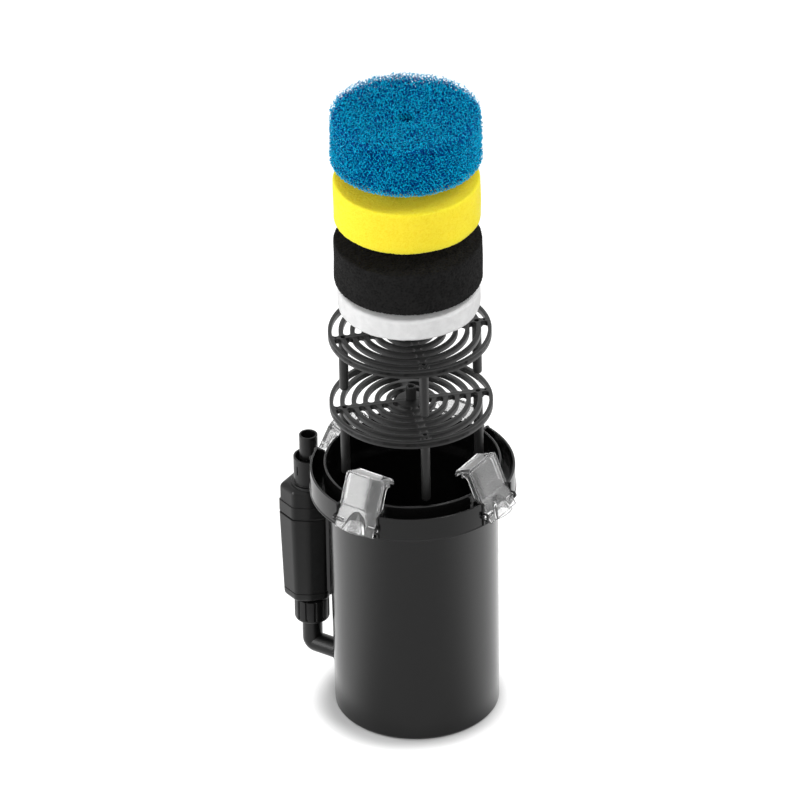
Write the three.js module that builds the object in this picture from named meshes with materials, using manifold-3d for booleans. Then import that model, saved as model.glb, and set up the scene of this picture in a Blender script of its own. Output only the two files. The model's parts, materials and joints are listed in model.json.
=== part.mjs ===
// An external canister filter, drawn apart as on a parts sheet: the tub with its four clear clips,
// the circulation pump on its side, two slotted grids on legs and four round filter pads above.
// Millimetres, +Z up. The origin is the middle of the tub's flat underside. The grids' legs stand
// on the X and Y axes, the clips on the diagonals, and the pump on the diagonal at 135 degrees.
import * as THREE from 'three';
import Module from 'manifold-3d';
import { mergeVertices } from 'three/addons/utils/BufferGeometryUtils.js';

const wasm = await Module();
wasm.setup();

// Driving dimensions ------------------------------------------------------------------------

const FIT = 0.3; // gap between pieces that touch
const EDGE = 0.6; // small bevel that breaks a sharp edge
const OVER = 1; // how far a cut or a join runs past a face

// tub
const TUB_BASE_RADIUS = 78.4;
const TUB_TAPER = 2.8; // gained from the base to the shoulder
const TUB_WALL = 2;
const TUB_FLOOR = 3;
const TUB_FOOT_BEVEL = 2.5;
const SHOULDER_HEIGHT = 238; // underside of the collar
const NECK_FLARE = 3.6; // neck beyond the wall below it
const NECK_WALL = 2.4;
const NECK_RISE = 31; // neck above the shoulder
const BEAD_REACH = 1.8; // shoulder bead beyond the neck
const BEAD_HEIGHT = 2.6;

// collar
const COLLAR_REACH = 13.2; // beyond the neck
const COLLAR_WALL = 2.2;
const COLLAR_HEIGHT = 25;

// clips
const CLIP_ANGLES = { front_left: -135, front_right: -45, rear_right: 45, rear_left: 135 };
const CLIP_WIDTH = 43;
const CLIP_TOP = 48.5; // above the pivot, along the clip
const CLIP_TAIL = 8.5; // below the pivot
const CLIP_LIP = 17; // inward reach of the hook
const CLIP_PLATE = 2.4;
const CLIP_LEAN = 22.7; // degrees, inward, with no lid to hold
const CLIP_KINK_HEIGHT = 15;
const CLIP_KINK = 1.6; // inward offset of the plate above the kink
const CLIP_RIB = 2.2; // side rib thickness
const CLIP_RIB_DEPTH = 4.4;
const CLIP_BEAD = 2.2; // turned-down edge of the hook
const CLIP_GUSSET = 10.2; // the side ribs' reach under the hook
const CLIP_CORNER = 5; // rounding of the plate's upper corners
const SCOOP_WIDTH = 27; // conical thumb scoop in the lower edge
const SCOOP_DEPTH = 6;
const SCOOP_HEIGHT = 21;
const SCOOP_WALL = 1.8;
const SCOOP_TIP = 0.12; // its top, as a share of its foot
const PIVOT_RADIUS = 2.2;
const PIVOT_RISE = 9.3; // pivot above the collar's floor
const PIVOT_OUTSET = 0.5; // pivot beyond the collar's outer face
const PIVOT_PIN = 3.7; // beyond the clip's side
const CLIP_SIDE_GAP = 0.5;
const LUG_THICKNESS = 4;
const LUG_RADIUS = 5.2;
const NOTCH_WEB = 2.2;

// grids and their legs
const GRID_THICKNESS = 5.4;
const GRID_RIM_DEPTH = 7.5;
const GRID_RIM_WIDTH = 2.6; // where it hangs below the plate
const GRID_BAND = 3.6; // from the outermost slot to the edge
const RING_WIDTH = 4.4;
const RING_COUNT = 6; // slots from hub to rim
const HUB_RADIUS = 14.4;
const SPOKE_WIDTH = 5;
const LEG_RADIUS = 4.5;
const LEG_BOSS_RADIUS = 6.2;
const LEG_PEG_RADIUS = 1.7;
const LEG_PEG_LENGTH = 4;
const LEG_TIP_ROUND = 2.2;
const VENT_RADIUS = 1.1;
const STEM_RADIUS = 5;
const STEM_RISE = 10.7;
const STEM_PEG_RADIUS = 2.7;
const LOWER_GRID_HEIGHT = 73.6; // top face above its legs' tips
const UPPER_GRID_HEIGHT = 58.4;

// the drawn-apart stack: a gap is the air below a piece, an inset its edge inside the grids' edge
const LOWER_GRID_LIFT = 99.6; // its top face above the shoulder
const UPPER_GRID_GAP = 20.7;
const PADS = {
  white_floss_pad: { gap: 27.3, inset: 8.4, thickness: 24, round: 5, dish: 0, bore: 0 },
  black_foam_pad: { gap: 7, inset: 5.8, thickness: 45, round: 4, dish: 0, bore: 0 },
  yellow_foam_pad: { gap: 23, inset: 6.5, thickness: 45, round: 4, dish: 0, bore: 0 },
  blue_foam_pad: { gap: 19, inset: 4.2, thickness: 50, round: 6, dish: 4, bore: 4.2 },
};

// pump: heights above the floor, its axis upright
const PUMP_ANGLE = 135;
const PUMP_STANDOFF = 21.5; // its axis beyond the collar
const PUMP_SECTION = [[25.5, 16], [4, 24], [-9, 17.5], [-22, 7]]; // half outline, outward first
const PUMP_CORNER = 3; // corner rounding
const PUMP_WALL = 2.6;
const PUMP_DRAFT = 2.6; // inset of the foot against the seam
const COVER_BOTTOM = 75.5;
const COVER_BEVEL = 4.5;
const COVER_HEIGHT = 9.5;
const COVER_FLOOR = 3;
const SEAM_HEIGHT = 170; // top of the housing
const SEAL_THICKNESS = 1.2;
const SEAL_INSET = 1.3;
const CAP_BAND = 12.6; // cap below its lip
const CAP_LIP = 1;
const CAP_HEIGHT = 32;
const CAP_SHOULDER = 6;
const CAP_ROOF = 5;
const SOCKET_RING_RADIUS = 17.6;
const SOCKET_RING_HEIGHT = 2;
const SOCKET_RADIUS = 14.8;
const SOCKET_LENGTH = 27.7;
const SOCKET_MOUTH_RADIUS = 12.9;
const SOCKET_MOUTH_DEPTH = 14;
const SOCKET_SLOT = [1.4, 10, 11.9]; // width, height and its middle's drop below the top
const SOCKET_SLOT_ANGLE = 74;
const PIPE_RADIUS = 8.9;
const PIPE_BORE = 7;
const PIPE_RISE = 21; // above the socket
const PIPE_SEAT = 2; // pipe's foot above the socket's ring

// impeller, motor and their chamber
const CHAMBER_RADIUS = 14;
const CHAMBER_HEIGHT = 14;
const WELL_RADIUS = 9.6;
const WELL_WALL = 1.8;
const WELL_HEIGHT = 42;
const DUCT_RADIUS = 3.4;
const DUCT_WALL = 1.4;
const VOLUTE = [4.8, 8.4]; // width and height of the chamber's way out
const DUCT_OFFSET = 17.6;
const BULKHEAD = 3;
const ROTOR_RADIUS = 8.8;
const ROTOR_LENGTH = 34;
const SHAFT_RADIUS = 1.6;
const SHAFT_PLAY = 0.4;
const IMPELLER_RADIUS = 12.5;
const IMPELLER_HEIGHT = 9;
const IMPELLER_HUB = 5.5;
const IMPELLER_DISC = 1.8;
const VANE_COUNT = 6;
const VANE_THICKNESS = 1.6;
const BUSH_RADIUS = 3.8;
const BUSH_LENGTH = 5;
const SPIDER_HUB = 5.4;
const SPIDER_BAR = [3, 5]; // width and height
const MOTOR_HEIGHT = 60;

// union and elbow
const SPIGOT_RADIUS = 12;
const SPIGOT_BORE = 8.6;
const SPIGOT_LENGTH = 11.5;
const NUT_RADIUS = 16.7;
const NUT_HEIGHT = 20;
const NUT_RIBS = 12;
const NUT_BEVEL = [1.6, 2]; // inset and height at its foot
const NUT_SKIRT = 3; // plain band below the grooves
const NUT_GROOVE = [2, 1.3]; // width and depth
const NUT_FLANGE = 3.6;
const UNION_SEAL = 1.8;
const ELBOW_RADIUS = 8;
const ELBOW_WALL = 2;
const ELBOW_FLANGE = 2.7;
const ELBOW_FLANGE_RADIUS = 11.7;
const ELBOW_HEIGHT = 23; // axis of its level run
const ELBOW_MITRE = 8;
const PORT_BOSS_RADIUS = 12.5;
const PORT_BOSS_DEPTH = 7.3; // beyond the tub's wall
const GROMMET_WALL = 2;
const GROMMET_FLANGE = [12.2, 2]; // radius and thickness

// bracket between tub and pump, and the cable gland
const BRACKET_WIDTH = 22;
const BRACKET_PLATE = 3;
const BRACKET_RAIL = 3;
const BRACKET_FOOT = 5; // above the housing's lower edge
const BRACKET_HEAD = 10; // short of the cap's top
const BRACKET_LUG = [20, 16]; // width and height of the tub's two lugs
const BRACKET_LUG_INSET = 14; // from the bracket's ends to its lugs
const BRACKET_LUG_DEPTH = 9.4; // beyond the tub's widest wall
const SCREW_RADIUS = 1.6;
const SCREW_HEAD = [3, 2]; // radius and thickness
const SCREW_LENGTH = 8;
const GLAND_RADIUS = 4.6;
const GLAND_TIP_RADIUS = 3;
const GLAND_LENGTH = 11;
const GLAND_COLLAR = 3.3; // its straight foot
const GLAND_DROP = 20; // below the housing's seam
const GLAND_SIDE = -1; // -1 is the pump's left flank as seen from outside, 1 its right

// facets round a full turn
const LARGE = 48;
const MEDIUM = 24;
const SMALL = 12;

// Sizes that follow -------------------------------------------------------------------------

const tubRadiusAt = (z) => TUB_BASE_RADIUS + TUB_TAPER * z / SHOULDER_HEIGHT;
const SHOULDER_RADIUS = TUB_BASE_RADIUS + TUB_TAPER;
const NECK_RADIUS = SHOULDER_RADIUS + NECK_FLARE;
const COLLAR_RADIUS = NECK_RADIUS + COLLAR_REACH;
const GRID_RADIUS = tubRadiusAt(TUB_FLOOR + LOWER_GRID_HEIGHT) - TUB_WALL - FIT;
const RING_PITCH = (GRID_RADIUS - GRID_BAND + RING_WIDTH / 2) / (RING_COUNT + 1);
const LEG_CIRCLE = RING_PITCH * RING_COUNT;
const VENT_CIRCLE = LEG_CIRCLE + LEG_BOSS_RADIUS + VENT_RADIUS;
const LOWER_GRID_TOP = SHOULDER_HEIGHT + LOWER_GRID_LIFT;
const UPPER_GRID_TOP = LOWER_GRID_TOP + UPPER_GRID_GAP + UPPER_GRID_HEIGHT;
const PUMP_RADIUS = COLLAR_RADIUS + PUMP_STANDOFF; // its axis from the tub's axis
const COVER_TOP = COVER_BOTTOM + COVER_HEIGHT;
const HOUSING_BOTTOM = COVER_TOP + FIT;
const CAP_BOTTOM = SEAM_HEIGHT + SEAL_THICKNESS + 2 * FIT;
const CAP_TOP = CAP_BOTTOM + CAP_HEIGHT;
const SOCKET_FOOT = CAP_TOP + SOCKET_RING_HEIGHT;
const SOCKET_TOP = SOCKET_FOOT + SOCKET_LENGTH;
const PIPE_TOP = SOCKET_TOP + PIPE_RISE;
const BITE = 0.8; // share of the tub's wall that a boss on it sinks into
const PORT_BOSS_REACH = tubRadiusAt(ELBOW_HEIGHT) + PORT_BOSS_DEPTH;
const BRACKET_SPAN = [HOUSING_BOTTOM + BRACKET_FOOT, CAP_TOP - BRACKET_HEAD];
const BRACKET_LUG_HEIGHTS = {
  lower: BRACKET_SPAN[0] + BRACKET_LUG_INSET,
  upper: BRACKET_SPAN[1] - BRACKET_LUG_INSET,
};
const BRACKET_LUG_REACH = tubRadiusAt(BRACKET_LUG_HEIGHTS.upper) + BRACKET_LUG_DEPTH;
const GLAND_HEIGHT = SEAM_HEIGHT - GLAND_DROP;

// Materials ---------------------------------------------------------------------------------

const finish = (color, roughness, metalness = 0) =>
  new THREE.MeshStandardMaterial({ color, roughness, metalness });
const TUB_BLACK = finish(0x141414, 0.28);
const BLACK_PLASTIC = finish(0x1b1b1b, 0.45);
const GRID_BLACK = finish(0x1a1a1a, 0.5);
const CLEAR_PLASTIC = finish(0xc9cdd0, 0.12);
const BLACK_RUBBER = finish(0x101010, 0.8);
const WHITE_FLOSS = finish(0xf3f3f3, 0.95);
const BLACK_FOAM = finish(0x151515, 0.95);
const YELLOW_FOAM = finish(0xf6dd12, 0.9);
const BLUE_FOAM = finish(0x0b76b8, 0.9);
const FERRITE = finish(0x2b2b2e, 0.6);
const CERAMIC = finish(0xeeeae0, 0.3);
const STEEL = finish(0xb8bcc0, 0.3, 1);
const RESIN = finish(0x25282b, 0.55);

// Helpers -----------------------------------------------------------------------------------

const radians = THREE.MathUtils.degToRad;

// a closed three.js geometry as a solid, with shared corners welded and collapsed faces dropped
function solid(geometry) {
  const bare = geometry.clone();
  bare.deleteAttribute('normal');
  bare.deleteAttribute('uv');
  const welded = mergeVertices(bare, 1e-4);
  const corners = welded.index.array;
  const faces = [];
  for (let i = 0; i < corners.length; i += 3) {
    const [a, b, c] = corners.slice(i, i + 3);
    if (a !== b && b !== c && c !== a) faces.push(a, b, c);
  }
  return new wasm.Manifold(new wasm.Mesh({
    numProp: 3,
    vertProperties: new Float32Array(welded.attributes.position.array),
    triVerts: new Uint32Array(faces),
  }));
}

const join = (...geometries) => geometries.map(solid).reduce((whole, next) => whole.add(next));
const cut = (whole, ...geometries) =>
  geometries.map(solid).reduce((rest, next) => rest.subtract(next), whole);

function geometryOf(body) {
  const mesh = body.simplify(0.01).getMesh();
  const geometry = new THREE.BufferGeometry();
  geometry.setAttribute('position', new THREE.BufferAttribute(mesh.vertProperties, 3));
  geometry.setIndex(new THREE.BufferAttribute(mesh.triVerts, 1));
  geometry.computeVertexNormals();
  return geometry;
}

// turns a profile of [radius, height] points about Z: outer wall upwards, inner wall downwards
function revolve(profile, facets = LARGE) {
  const closed = profile[0][0] === 0 ? profile : [...profile, profile[0]];
  const points = closed.map(([r, z]) => new THREE.Vector2(r, z));
  return new THREE.LatheGeometry(points, facets).rotateX(Math.PI / 2);
}

// a quarter turn about (x, z) for such a profile, in two steps
const quarterArc = (x, z, radius, from) => [0, 1, 2].map((step) => {
  const angle = from + step * Math.PI / 4;
  return [x + radius * Math.cos(angle), z + radius * Math.sin(angle)];
});

const ring = (inner, outer, low, high, facets = MEDIUM) =>
  revolve([[inner, low], [outer, low], [outer, high], [inner, high]], facets);

function rod(radius, low, high, facets = MEDIUM) {
  return revolve([[0, low], [radius, low], [radius, high], [0, high]], facets);
}

// lays a piece built along Z along +X instead
const layAlongX = (geometry) => geometry.rotateY(Math.PI / 2);

function block([x0, x1], [y0, y1], [z0, z1]) {
  return new THREE.BoxGeometry(x1 - x0, y1 - y0, z1 - z0)
    .translate((x0 + x1) / 2, (y0 + y1) / 2, (z0 + z1) / 2);
}

function prism(outline, low, high, holes = []) {
  const toPoints = (list) => list.map(([x, y]) => new THREE.Vector2(x, y));
  const shape = new THREE.Shape(toPoints(outline));
  shape.holes = holes.map((hole) => new THREE.Path(toPoints(hole)));
  return new THREE.ExtrudeGeometry(shape, { depth: high - low, bevelEnabled: false })
    .translate(0, 0, low);
}

// a side profile of [y, z] points, drawn out along X between two places
function sideProfile(profile, low, high) {
  const turned = new THREE.Matrix4().makeBasis(
    new THREE.Vector3(0, 1, 0), new THREE.Vector3(0, 0, 1), new THREE.Vector3(1, 0, 0));
  return prism(profile, low, high).applyMatrix4(turned);
}

// skins a row of rings of [x, y, z] points, counter-clockwise about its path, into a closed solid
function skin(rings) {
  const count = rings[0].length;
  const indices = [];
  for (let k = 0; k + 1 < rings.length; k++) {
    for (let i = 0; i < count; i++) {
      const a = k * count + i;
      const b = k * count + (i + 1) % count;
      indices.push(a, b, b + count, a, b + count, a + count);
    }
  }
  const last = (rings.length - 1) * count;
  for (let i = 1; i + 1 < count; i++) {
    indices.push(0, i + 1, i, last, last + i, last + i + 1);
  }
  const geometry = new THREE.BufferGeometry();
  geometry.setAttribute('position', new THREE.Float32BufferAttribute(rings.flat(2), 3));
  geometry.setIndex(indices);
  return geometry;
}

// stacks convex outlines, given as [outline, height] from bottom to top
const loft = (floors) => skin(floors.map(([outline, z]) => outline.map(([x, y]) => [x, y, z])));

// moves each side of a convex outline inwards by a distance
function inset(outline, distance) {
  const sides = outline.map(([x, y], i) => {
    const [nx, ny] = outline[(i + 1) % outline.length];
    const length = Math.hypot(nx - x, ny - y);
    const normal = [-(ny - y) / length, (nx - x) / length];
    return { normal, offset: normal[0] * x + normal[1] * y + distance };
  });
  return sides.map((side, i) => {
    const before = sides[(i + sides.length - 1) % sides.length];
    const [a, b] = before.normal;
    const [c, d] = side.normal;
    const scale = a * d - b * c;
    return [(before.offset * d - b * side.offset) / scale, (a * side.offset - before.offset * c) / scale];
  });
}

// rounds each corner of an outline with a short curve of equal steps
function rounded(outline, radius, steps = 2) {
  return outline.flatMap((corner, i) => {
    const point = new THREE.Vector2(...corner);
    const ends = [-1, 1].map((side) => {
      const next = new THREE.Vector2(...outline[(i + side + outline.length) % outline.length]);
      return next.sub(point).setLength(radius).add(point);
    });
    const curve = new THREE.QuadraticBezierCurve(ends[0], point, ends[1]);
    return curve.getPoints(steps).map(({ x, y }) => [x, y]);
  });
}

// the same, for the upper two corners of a four-cornered outline only
function roundedAbove(outline, radius) {
  const [left, right] = outline;
  return [left, right, ...rounded(outline, radius).slice(6)];
}

const polar = (radius, angle) => [radius * Math.cos(angle), radius * Math.sin(angle)];

const group = new THREE.Group();

function place(name, body, material, parent = group) {
  const geometry = body instanceof THREE.BufferGeometry ? body : geometryOf(body);
  const mesh = new THREE.Mesh(geometry, material);
  mesh.name = name;
  parent.add(mesh);
  return mesh;
}

// Tub ---------------------------------------------------------------------------------------

// turned so that its +X points at the pump; its origin stays on the tub's axis
const pumpSide = new THREE.Group();
pumpSide.rotation.z = radians(PUMP_ANGLE);
group.add(pumpSide);

const PORT_RADIUS = ELBOW_RADIUS + GROMMET_WALL + 2 * FIT;

function tub() {
  const beadRadius = NECK_RADIUS + BEAD_REACH;
  const beadTop = SHOULDER_HEIGHT - FIT;
  const flareFoot = beadTop - BEAD_HEIGHT - (beadRadius - SHOULDER_RADIUS);
  const neckTop = SHOULDER_HEIGHT + NECK_RISE;
  const neckInside = NECK_RADIUS - NECK_WALL;
  const footRadius = TUB_BASE_RADIUS - TUB_FOOT_BEVEL;
  const wall = revolve([
    [0, 0],
    [footRadius, 0],
    [TUB_BASE_RADIUS - TUB_FOOT_BEVEL * 0.3, TUB_FOOT_BEVEL * 0.3],
    [tubRadiusAt(TUB_FOOT_BEVEL), TUB_FOOT_BEVEL],
    [tubRadiusAt(flareFoot), flareFoot],
    [beadRadius, beadTop - BEAD_HEIGHT],
    [beadRadius, beadTop],
    [NECK_RADIUS, beadTop],
    [NECK_RADIUS, neckTop - EDGE],
    [NECK_RADIUS - EDGE, neckTop],
    [neckInside, neckTop],
    [neckInside, beadTop],
    [tubRadiusAt(flareFoot) - TUB_WALL, flareFoot],
    [tubRadiusAt(TUB_FLOOR) - TUB_WALL, TUB_FLOOR + TUB_FOOT_BEVEL],
    [footRadius - TUB_WALL, TUB_FLOOR],
    [0, TUB_FLOOR],
  ]).rotateZ(-radians(PUMP_ANGLE));
  const portStart = tubRadiusAt(ELBOW_HEIGHT) - TUB_WALL * BITE;
  const port = layAlongX(rod(PORT_BOSS_RADIUS, portStart, PORT_BOSS_REACH))
    .translate(0, 0, ELBOW_HEIGHT);
  const [lugWidth, lugHeight] = BRACKET_LUG;
  const lugs = Object.values(BRACKET_LUG_HEIGHTS).map((z) => block(
    [tubRadiusAt(z) - TUB_WALL * BITE, BRACKET_LUG_REACH],
    [-lugWidth / 2, lugWidth / 2],
    [z - lugHeight / 2, z + lugHeight / 2]));
  const bore = layAlongX(rod(PORT_RADIUS, portStart - PORT_RADIUS, PORT_BOSS_REACH + OVER))
    .translate(0, 0, ELBOW_HEIGHT);
  const screwHoles = Object.values(BRACKET_LUG_HEIGHTS).map((z) => layAlongX(
    rod(SCREW_RADIUS + FIT, BRACKET_LUG_REACH - SCREW_LENGTH, BRACKET_LUG_REACH + OVER, SMALL))
    .translate(0, 0, z));
  return cut(join(wall, port, ...lugs), bore, ...screwHoles);
}
place('tub_body', tub(), TUB_BLACK, pumpSide);

// Collar and clips --------------------------------------------------------------------------

// the collar's floor is slotted under each clip, so that the clip's foot can swing through

const COLLAR_FLOOR = SHOULDER_HEIGHT + COLLAR_WALL;
const PIVOT_CIRCLE = COLLAR_RADIUS + PIVOT_OUTSET;
const PIVOT_HEIGHT = COLLAR_FLOOR + PIVOT_RISE;
const NOTCH_HALF = CLIP_WIDTH / 2 + CLIP_SIDE_GAP;
const FOOT_OUTSET = CLIP_PLATE / 2 + SCOOP_DEPTH + CLIP_TAIL * CLIP_KINK / CLIP_KINK_HEIGHT;
const FOOT_SWING = Math.hypot(FOOT_OUTSET, CLIP_TAIL) + FIT; // what the clip's foot sweeps
const FOOT_SLOT_REACH = Math.sqrt(Math.max(FOOT_SWING ** 2 - PIVOT_RISE ** 2, 0));

// turns a piece from the +Y side to a clip's side
const toClipSide = (geometry, angle) => geometry.rotateZ(radians(angle - 90));

function collar() {
  const top = SHOULDER_HEIGHT + COLLAR_HEIGHT;
  const inner = COLLAR_RADIUS - COLLAR_WALL;
  const neckFace = NECK_RADIUS + FIT;
  let body = join(revolve([
    [neckFace, SHOULDER_HEIGHT],
    [COLLAR_RADIUS, SHOULDER_HEIGHT],
    [COLLAR_RADIUS, top - EDGE],
    [COLLAR_RADIUS - EDGE, top],
    [inner, top],
    [inner, COLLAR_FLOOR],
    [neckFace, COLLAR_FLOOR],
  ]));
  for (const angle of Object.values(CLIP_ANGLES)) {
    for (const side of [-1, 1]) {
      const web = [side * NOTCH_HALF, side * (NOTCH_HALF + NOTCH_WEB)].sort((a, b) => a - b);
      const wall = block(web, [NECK_RADIUS + FIT, COLLAR_RADIUS - COLLAR_WALL],
        [COLLAR_FLOOR - EDGE, top - EDGE]);
      const lugEnds = [side * NOTCH_HALF, side * (NOTCH_HALF + LUG_THICKNESS)];
      const lug = layAlongX(rod(LUG_RADIUS, Math.min(...lugEnds), Math.max(...lugEnds), SMALL))
        .translate(0, COLLAR_RADIUS, PIVOT_HEIGHT);
      body = body.add(solid(toClipSide(wall, angle))).add(solid(toClipSide(lug, angle)));
    }
    const notch = block([-NOTCH_HALF, NOTCH_HALF], [NECK_RADIUS + OVER, COLLAR_RADIUS + 2 * LUG_RADIUS],
      [COLLAR_FLOOR, top + OVER]);
    const footSlot = block([-SCOOP_WIDTH / 2 - FIT, SCOOP_WIDTH / 2 + FIT],
      [PIVOT_CIRCLE - FOOT_SLOT_REACH, COLLAR_RADIUS + LUG_RADIUS],
      [SHOULDER_HEIGHT - OVER, COLLAR_FLOOR + OVER]);
    const reach = NOTCH_HALF + LUG_THICKNESS + OVER;
    const pivotHole = layAlongX(rod(PIVOT_RADIUS + FIT, -reach, reach, SMALL))
      .translate(0, PIVOT_CIRCLE, PIVOT_HEIGHT);
    body = cut(body, toClipSide(notch, angle), toClipSide(footSlot, angle),
      toClipSide(pivotHole, angle));
  }
  return body;
}
place('collar_ring', collar(), TUB_BLACK);

// drawn upright, hook inwards (-Y), with its pivot at the origin
function clip() {
  const half = CLIP_WIDTH / 2;
  const t = CLIP_PLATE / 2;
  const slope = CLIP_KINK / CLIP_KINK_HEIGHT;
  const tail = CLIP_TAIL * slope;
  const upper = -CLIP_KINK;
  const lipEnd = upper - t - CLIP_LIP;
  const underLip = CLIP_TOP - CLIP_PLATE;
  const plate = sideProfile([
    [tail + t, -CLIP_TAIL],
    [upper + t, CLIP_KINK_HEIGHT],
    [upper + t, CLIP_TOP - EDGE],
    [upper + t - EDGE, CLIP_TOP],
    [lipEnd, CLIP_TOP],
    [lipEnd, underLip - CLIP_BEAD],
    [lipEnd + CLIP_BEAD, underLip - CLIP_BEAD],
    [lipEnd + CLIP_BEAD, underLip],
    [upper - t, underLip],
    [upper - t, CLIP_KINK_HEIGHT],
    [tail - t, -CLIP_TAIL],
  ], -half, half);
  const ribProfile = [
    [upper, CLIP_KINK_HEIGHT],
    [upper, CLIP_TOP - t],
    [upper - t - CLIP_GUSSET, CLIP_TOP - t],
    [upper - t - CLIP_RIB_DEPTH, underLip - CLIP_RIB_DEPTH],
    [upper - t - CLIP_RIB_DEPTH, CLIP_KINK_HEIGHT + CLIP_RIB_DEPTH],
  ];
  const ribs = [-half, half - CLIP_RIB].map((x) => sideProfile(ribProfile, x, x + CLIP_RIB));
  const pins = [-1, 1].map((side) => {
    const ends = [side * SCOOP_WIDTH / 2, side * (half + PIVOT_PIN)];
    return layAlongX(rod(PIVOT_RADIUS, Math.min(...ends), Math.max(...ends), SMALL));
  });
  // the scoop: a half cone that opens downwards, standing out of the plate, with room for a fingertip
  const scoopCone = (width, depth, foot) => skin([SCOOP_TIP, 1].map((share) => {
    const z = foot + SCOOP_HEIGHT * (1 - share);
    return Array.from({ length: MEDIUM }, (_, i) => {
      const [x, y] = polar(share, 2 * Math.PI * i / MEDIUM);
      return [x * width / 2, y * depth - slope * z, z];
    });
  }).reverse());
  const inner = block([-half, half], [-CLIP_WIDTH, 0], [-CLIP_TAIL - OVER, CLIP_KINK_HEIGHT]);
  const leaning = inner.applyMatrix4(new THREE.Matrix4().makeShear(0, 0, 0, 0, 0, -slope));
  const scoop = solid(scoopCone(SCOOP_WIDTH, SCOOP_DEPTH + t, -CLIP_TAIL)).subtract(solid(leaning));
  const room = scoopCone(SCOOP_WIDTH - 2 * SCOOP_WALL, SCOOP_DEPTH + t - SCOOP_WALL,
    -CLIP_TAIL - SCOOP_WALL);
  const front = [
    [-half, -CLIP_TAIL - OVER],
    [half, -CLIP_TAIL - OVER],
    [half, CLIP_TOP],
    [-half, CLIP_TOP],
  ];
  const cornered = prism(roundedAbove(front, CLIP_CORNER), -CLIP_WIDTH, CLIP_WIDTH)
    .rotateX(Math.PI / 2);
  const body = join(plate, ...ribs).intersect(solid(cornered));
  return cut(body.add(scoop).add(join(...pins)), room);
}

for (const [name, angle] of Object.entries(CLIP_ANGLES)) {
  const seat = new THREE.Group();
  seat.rotation.z = radians(angle - 90);
  group.add(seat);
  const mesh = place(`clip_${name}`, clip(), CLEAR_PLASTIC, seat);
  mesh.position.set(0, PIVOT_CIRCLE, PIVOT_HEIGHT);
  mesh.rotation.x = radians(CLIP_LEAN);
}

// Grids -------------------------------------------------------------------------------------

const QUARTERS = [0, 90, 180, 270];

// an arc-shaped slot with round ends, from spoke to spoke
function slotOutline(inner, outer, quarter) {
  const middle = (inner + outer) / 2;
  const end = (outer - inner) / 2;
  const start = radians(quarter) + Math.asin((SPOKE_WIDTH / 2 + end) / middle);
  const stop = radians(quarter + 90) - Math.asin((SPOKE_WIDTH / 2 + end) / middle);
  const steps = Math.max(3, Math.round(middle / 12));
  const arc = (radius, from, to) => Array.from({ length: steps + 1 },
    (_, i) => polar(radius, from + (to - from) * i / steps));
  const roundEnd = (angle, facing) => [1, 2].map((i) => {
    const [cx, cy] = polar(middle, angle);
    const [dx, dy] = polar(end, facing + i * Math.PI / 3);
    return [cx + dx, cy + dy];
  });
  return [
    ...arc(outer, start, stop),
    ...roundEnd(stop, stop),
    ...arc(inner, stop, start),
    ...roundEnd(start, start + Math.PI),
  ];
}

// drawn with its top face at Z = 0
function grid() {
  const slots = [];
  for (let k = 1; k <= RING_COUNT; k++) {
    const inner = k === 1 ? HUB_RADIUS : RING_PITCH * k + RING_WIDTH / 2;
    const outer = RING_PITCH * (k + 1) - RING_WIDTH / 2;
    for (const quarter of QUARTERS) slots.push(slotOutline(inner, outer, quarter));
  }
  const disc = revolve([
    [0, -GRID_THICKNESS],
    [GRID_RADIUS - GRID_RIM_WIDTH, -GRID_THICKNESS],
    [GRID_RADIUS - GRID_RIM_WIDTH, -GRID_RIM_DEPTH],
    [GRID_RADIUS, -GRID_RIM_DEPTH],
    [GRID_RADIUS, 0],
    [0, 0],
  ]);
  const around = (geometry, radius) => QUARTERS.map((quarter) =>
    geometry.clone().translate(...polar(radius, radians(quarter)), 0));
  const bosses = around(rod(LEG_BOSS_RADIUS, -GRID_THICKNESS, 0, SMALL), LEG_CIRCLE);
  const pegHoles = around(rod(LEG_PEG_RADIUS + FIT, -GRID_RIM_DEPTH, OVER, SMALL), LEG_CIRCLE);
  const vents = around(rod(VENT_RADIUS, -GRID_RIM_DEPTH, OVER, SMALL / 2), VENT_CIRCLE);
  const hubHole = rod(STEM_PEG_RADIUS + FIT, -GRID_RIM_DEPTH, OVER, SMALL);
  const through = slots.map((outline) => prism(outline, -GRID_RIM_DEPTH - OVER, OVER));
  const slotted = cut(join(disc), ...through);
  return cut(slotted.add(join(...bosses)), ...pegHoles, ...vents, hubHole);
}

// drawn from its tip at Z = 0 up to its peg
function leg(gridHeight) {
  const shoulder = gridHeight - GRID_THICKNESS - FIT;
  return revolve([
    [0, 0],
    ...quarterArc(LEG_RADIUS - LEG_TIP_ROUND, LEG_TIP_ROUND, LEG_TIP_ROUND, -Math.PI / 2),
    [LEG_RADIUS, shoulder],
    [LEG_PEG_RADIUS, shoulder],
    [LEG_PEG_RADIUS, shoulder + LEG_PEG_LENGTH],
    [0, shoulder + LEG_PEG_LENGTH],
  ], SMALL);
}

function gridWithLegs(name, top, height) {
  place(`${name}_grid`, grid(), GRID_BLACK).position.z = top;
  QUARTERS.forEach((quarter, i) => {
    const mesh = place(`${name}_grid_leg_${i + 1}`, leg(height), GRID_BLACK);
    mesh.position.set(...polar(LEG_CIRCLE, radians(quarter)), top - height);
  });
}
gridWithLegs('lower', LOWER_GRID_TOP, LOWER_GRID_HEIGHT);
gridWithLegs('upper', UPPER_GRID_TOP, UPPER_GRID_HEIGHT);

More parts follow.
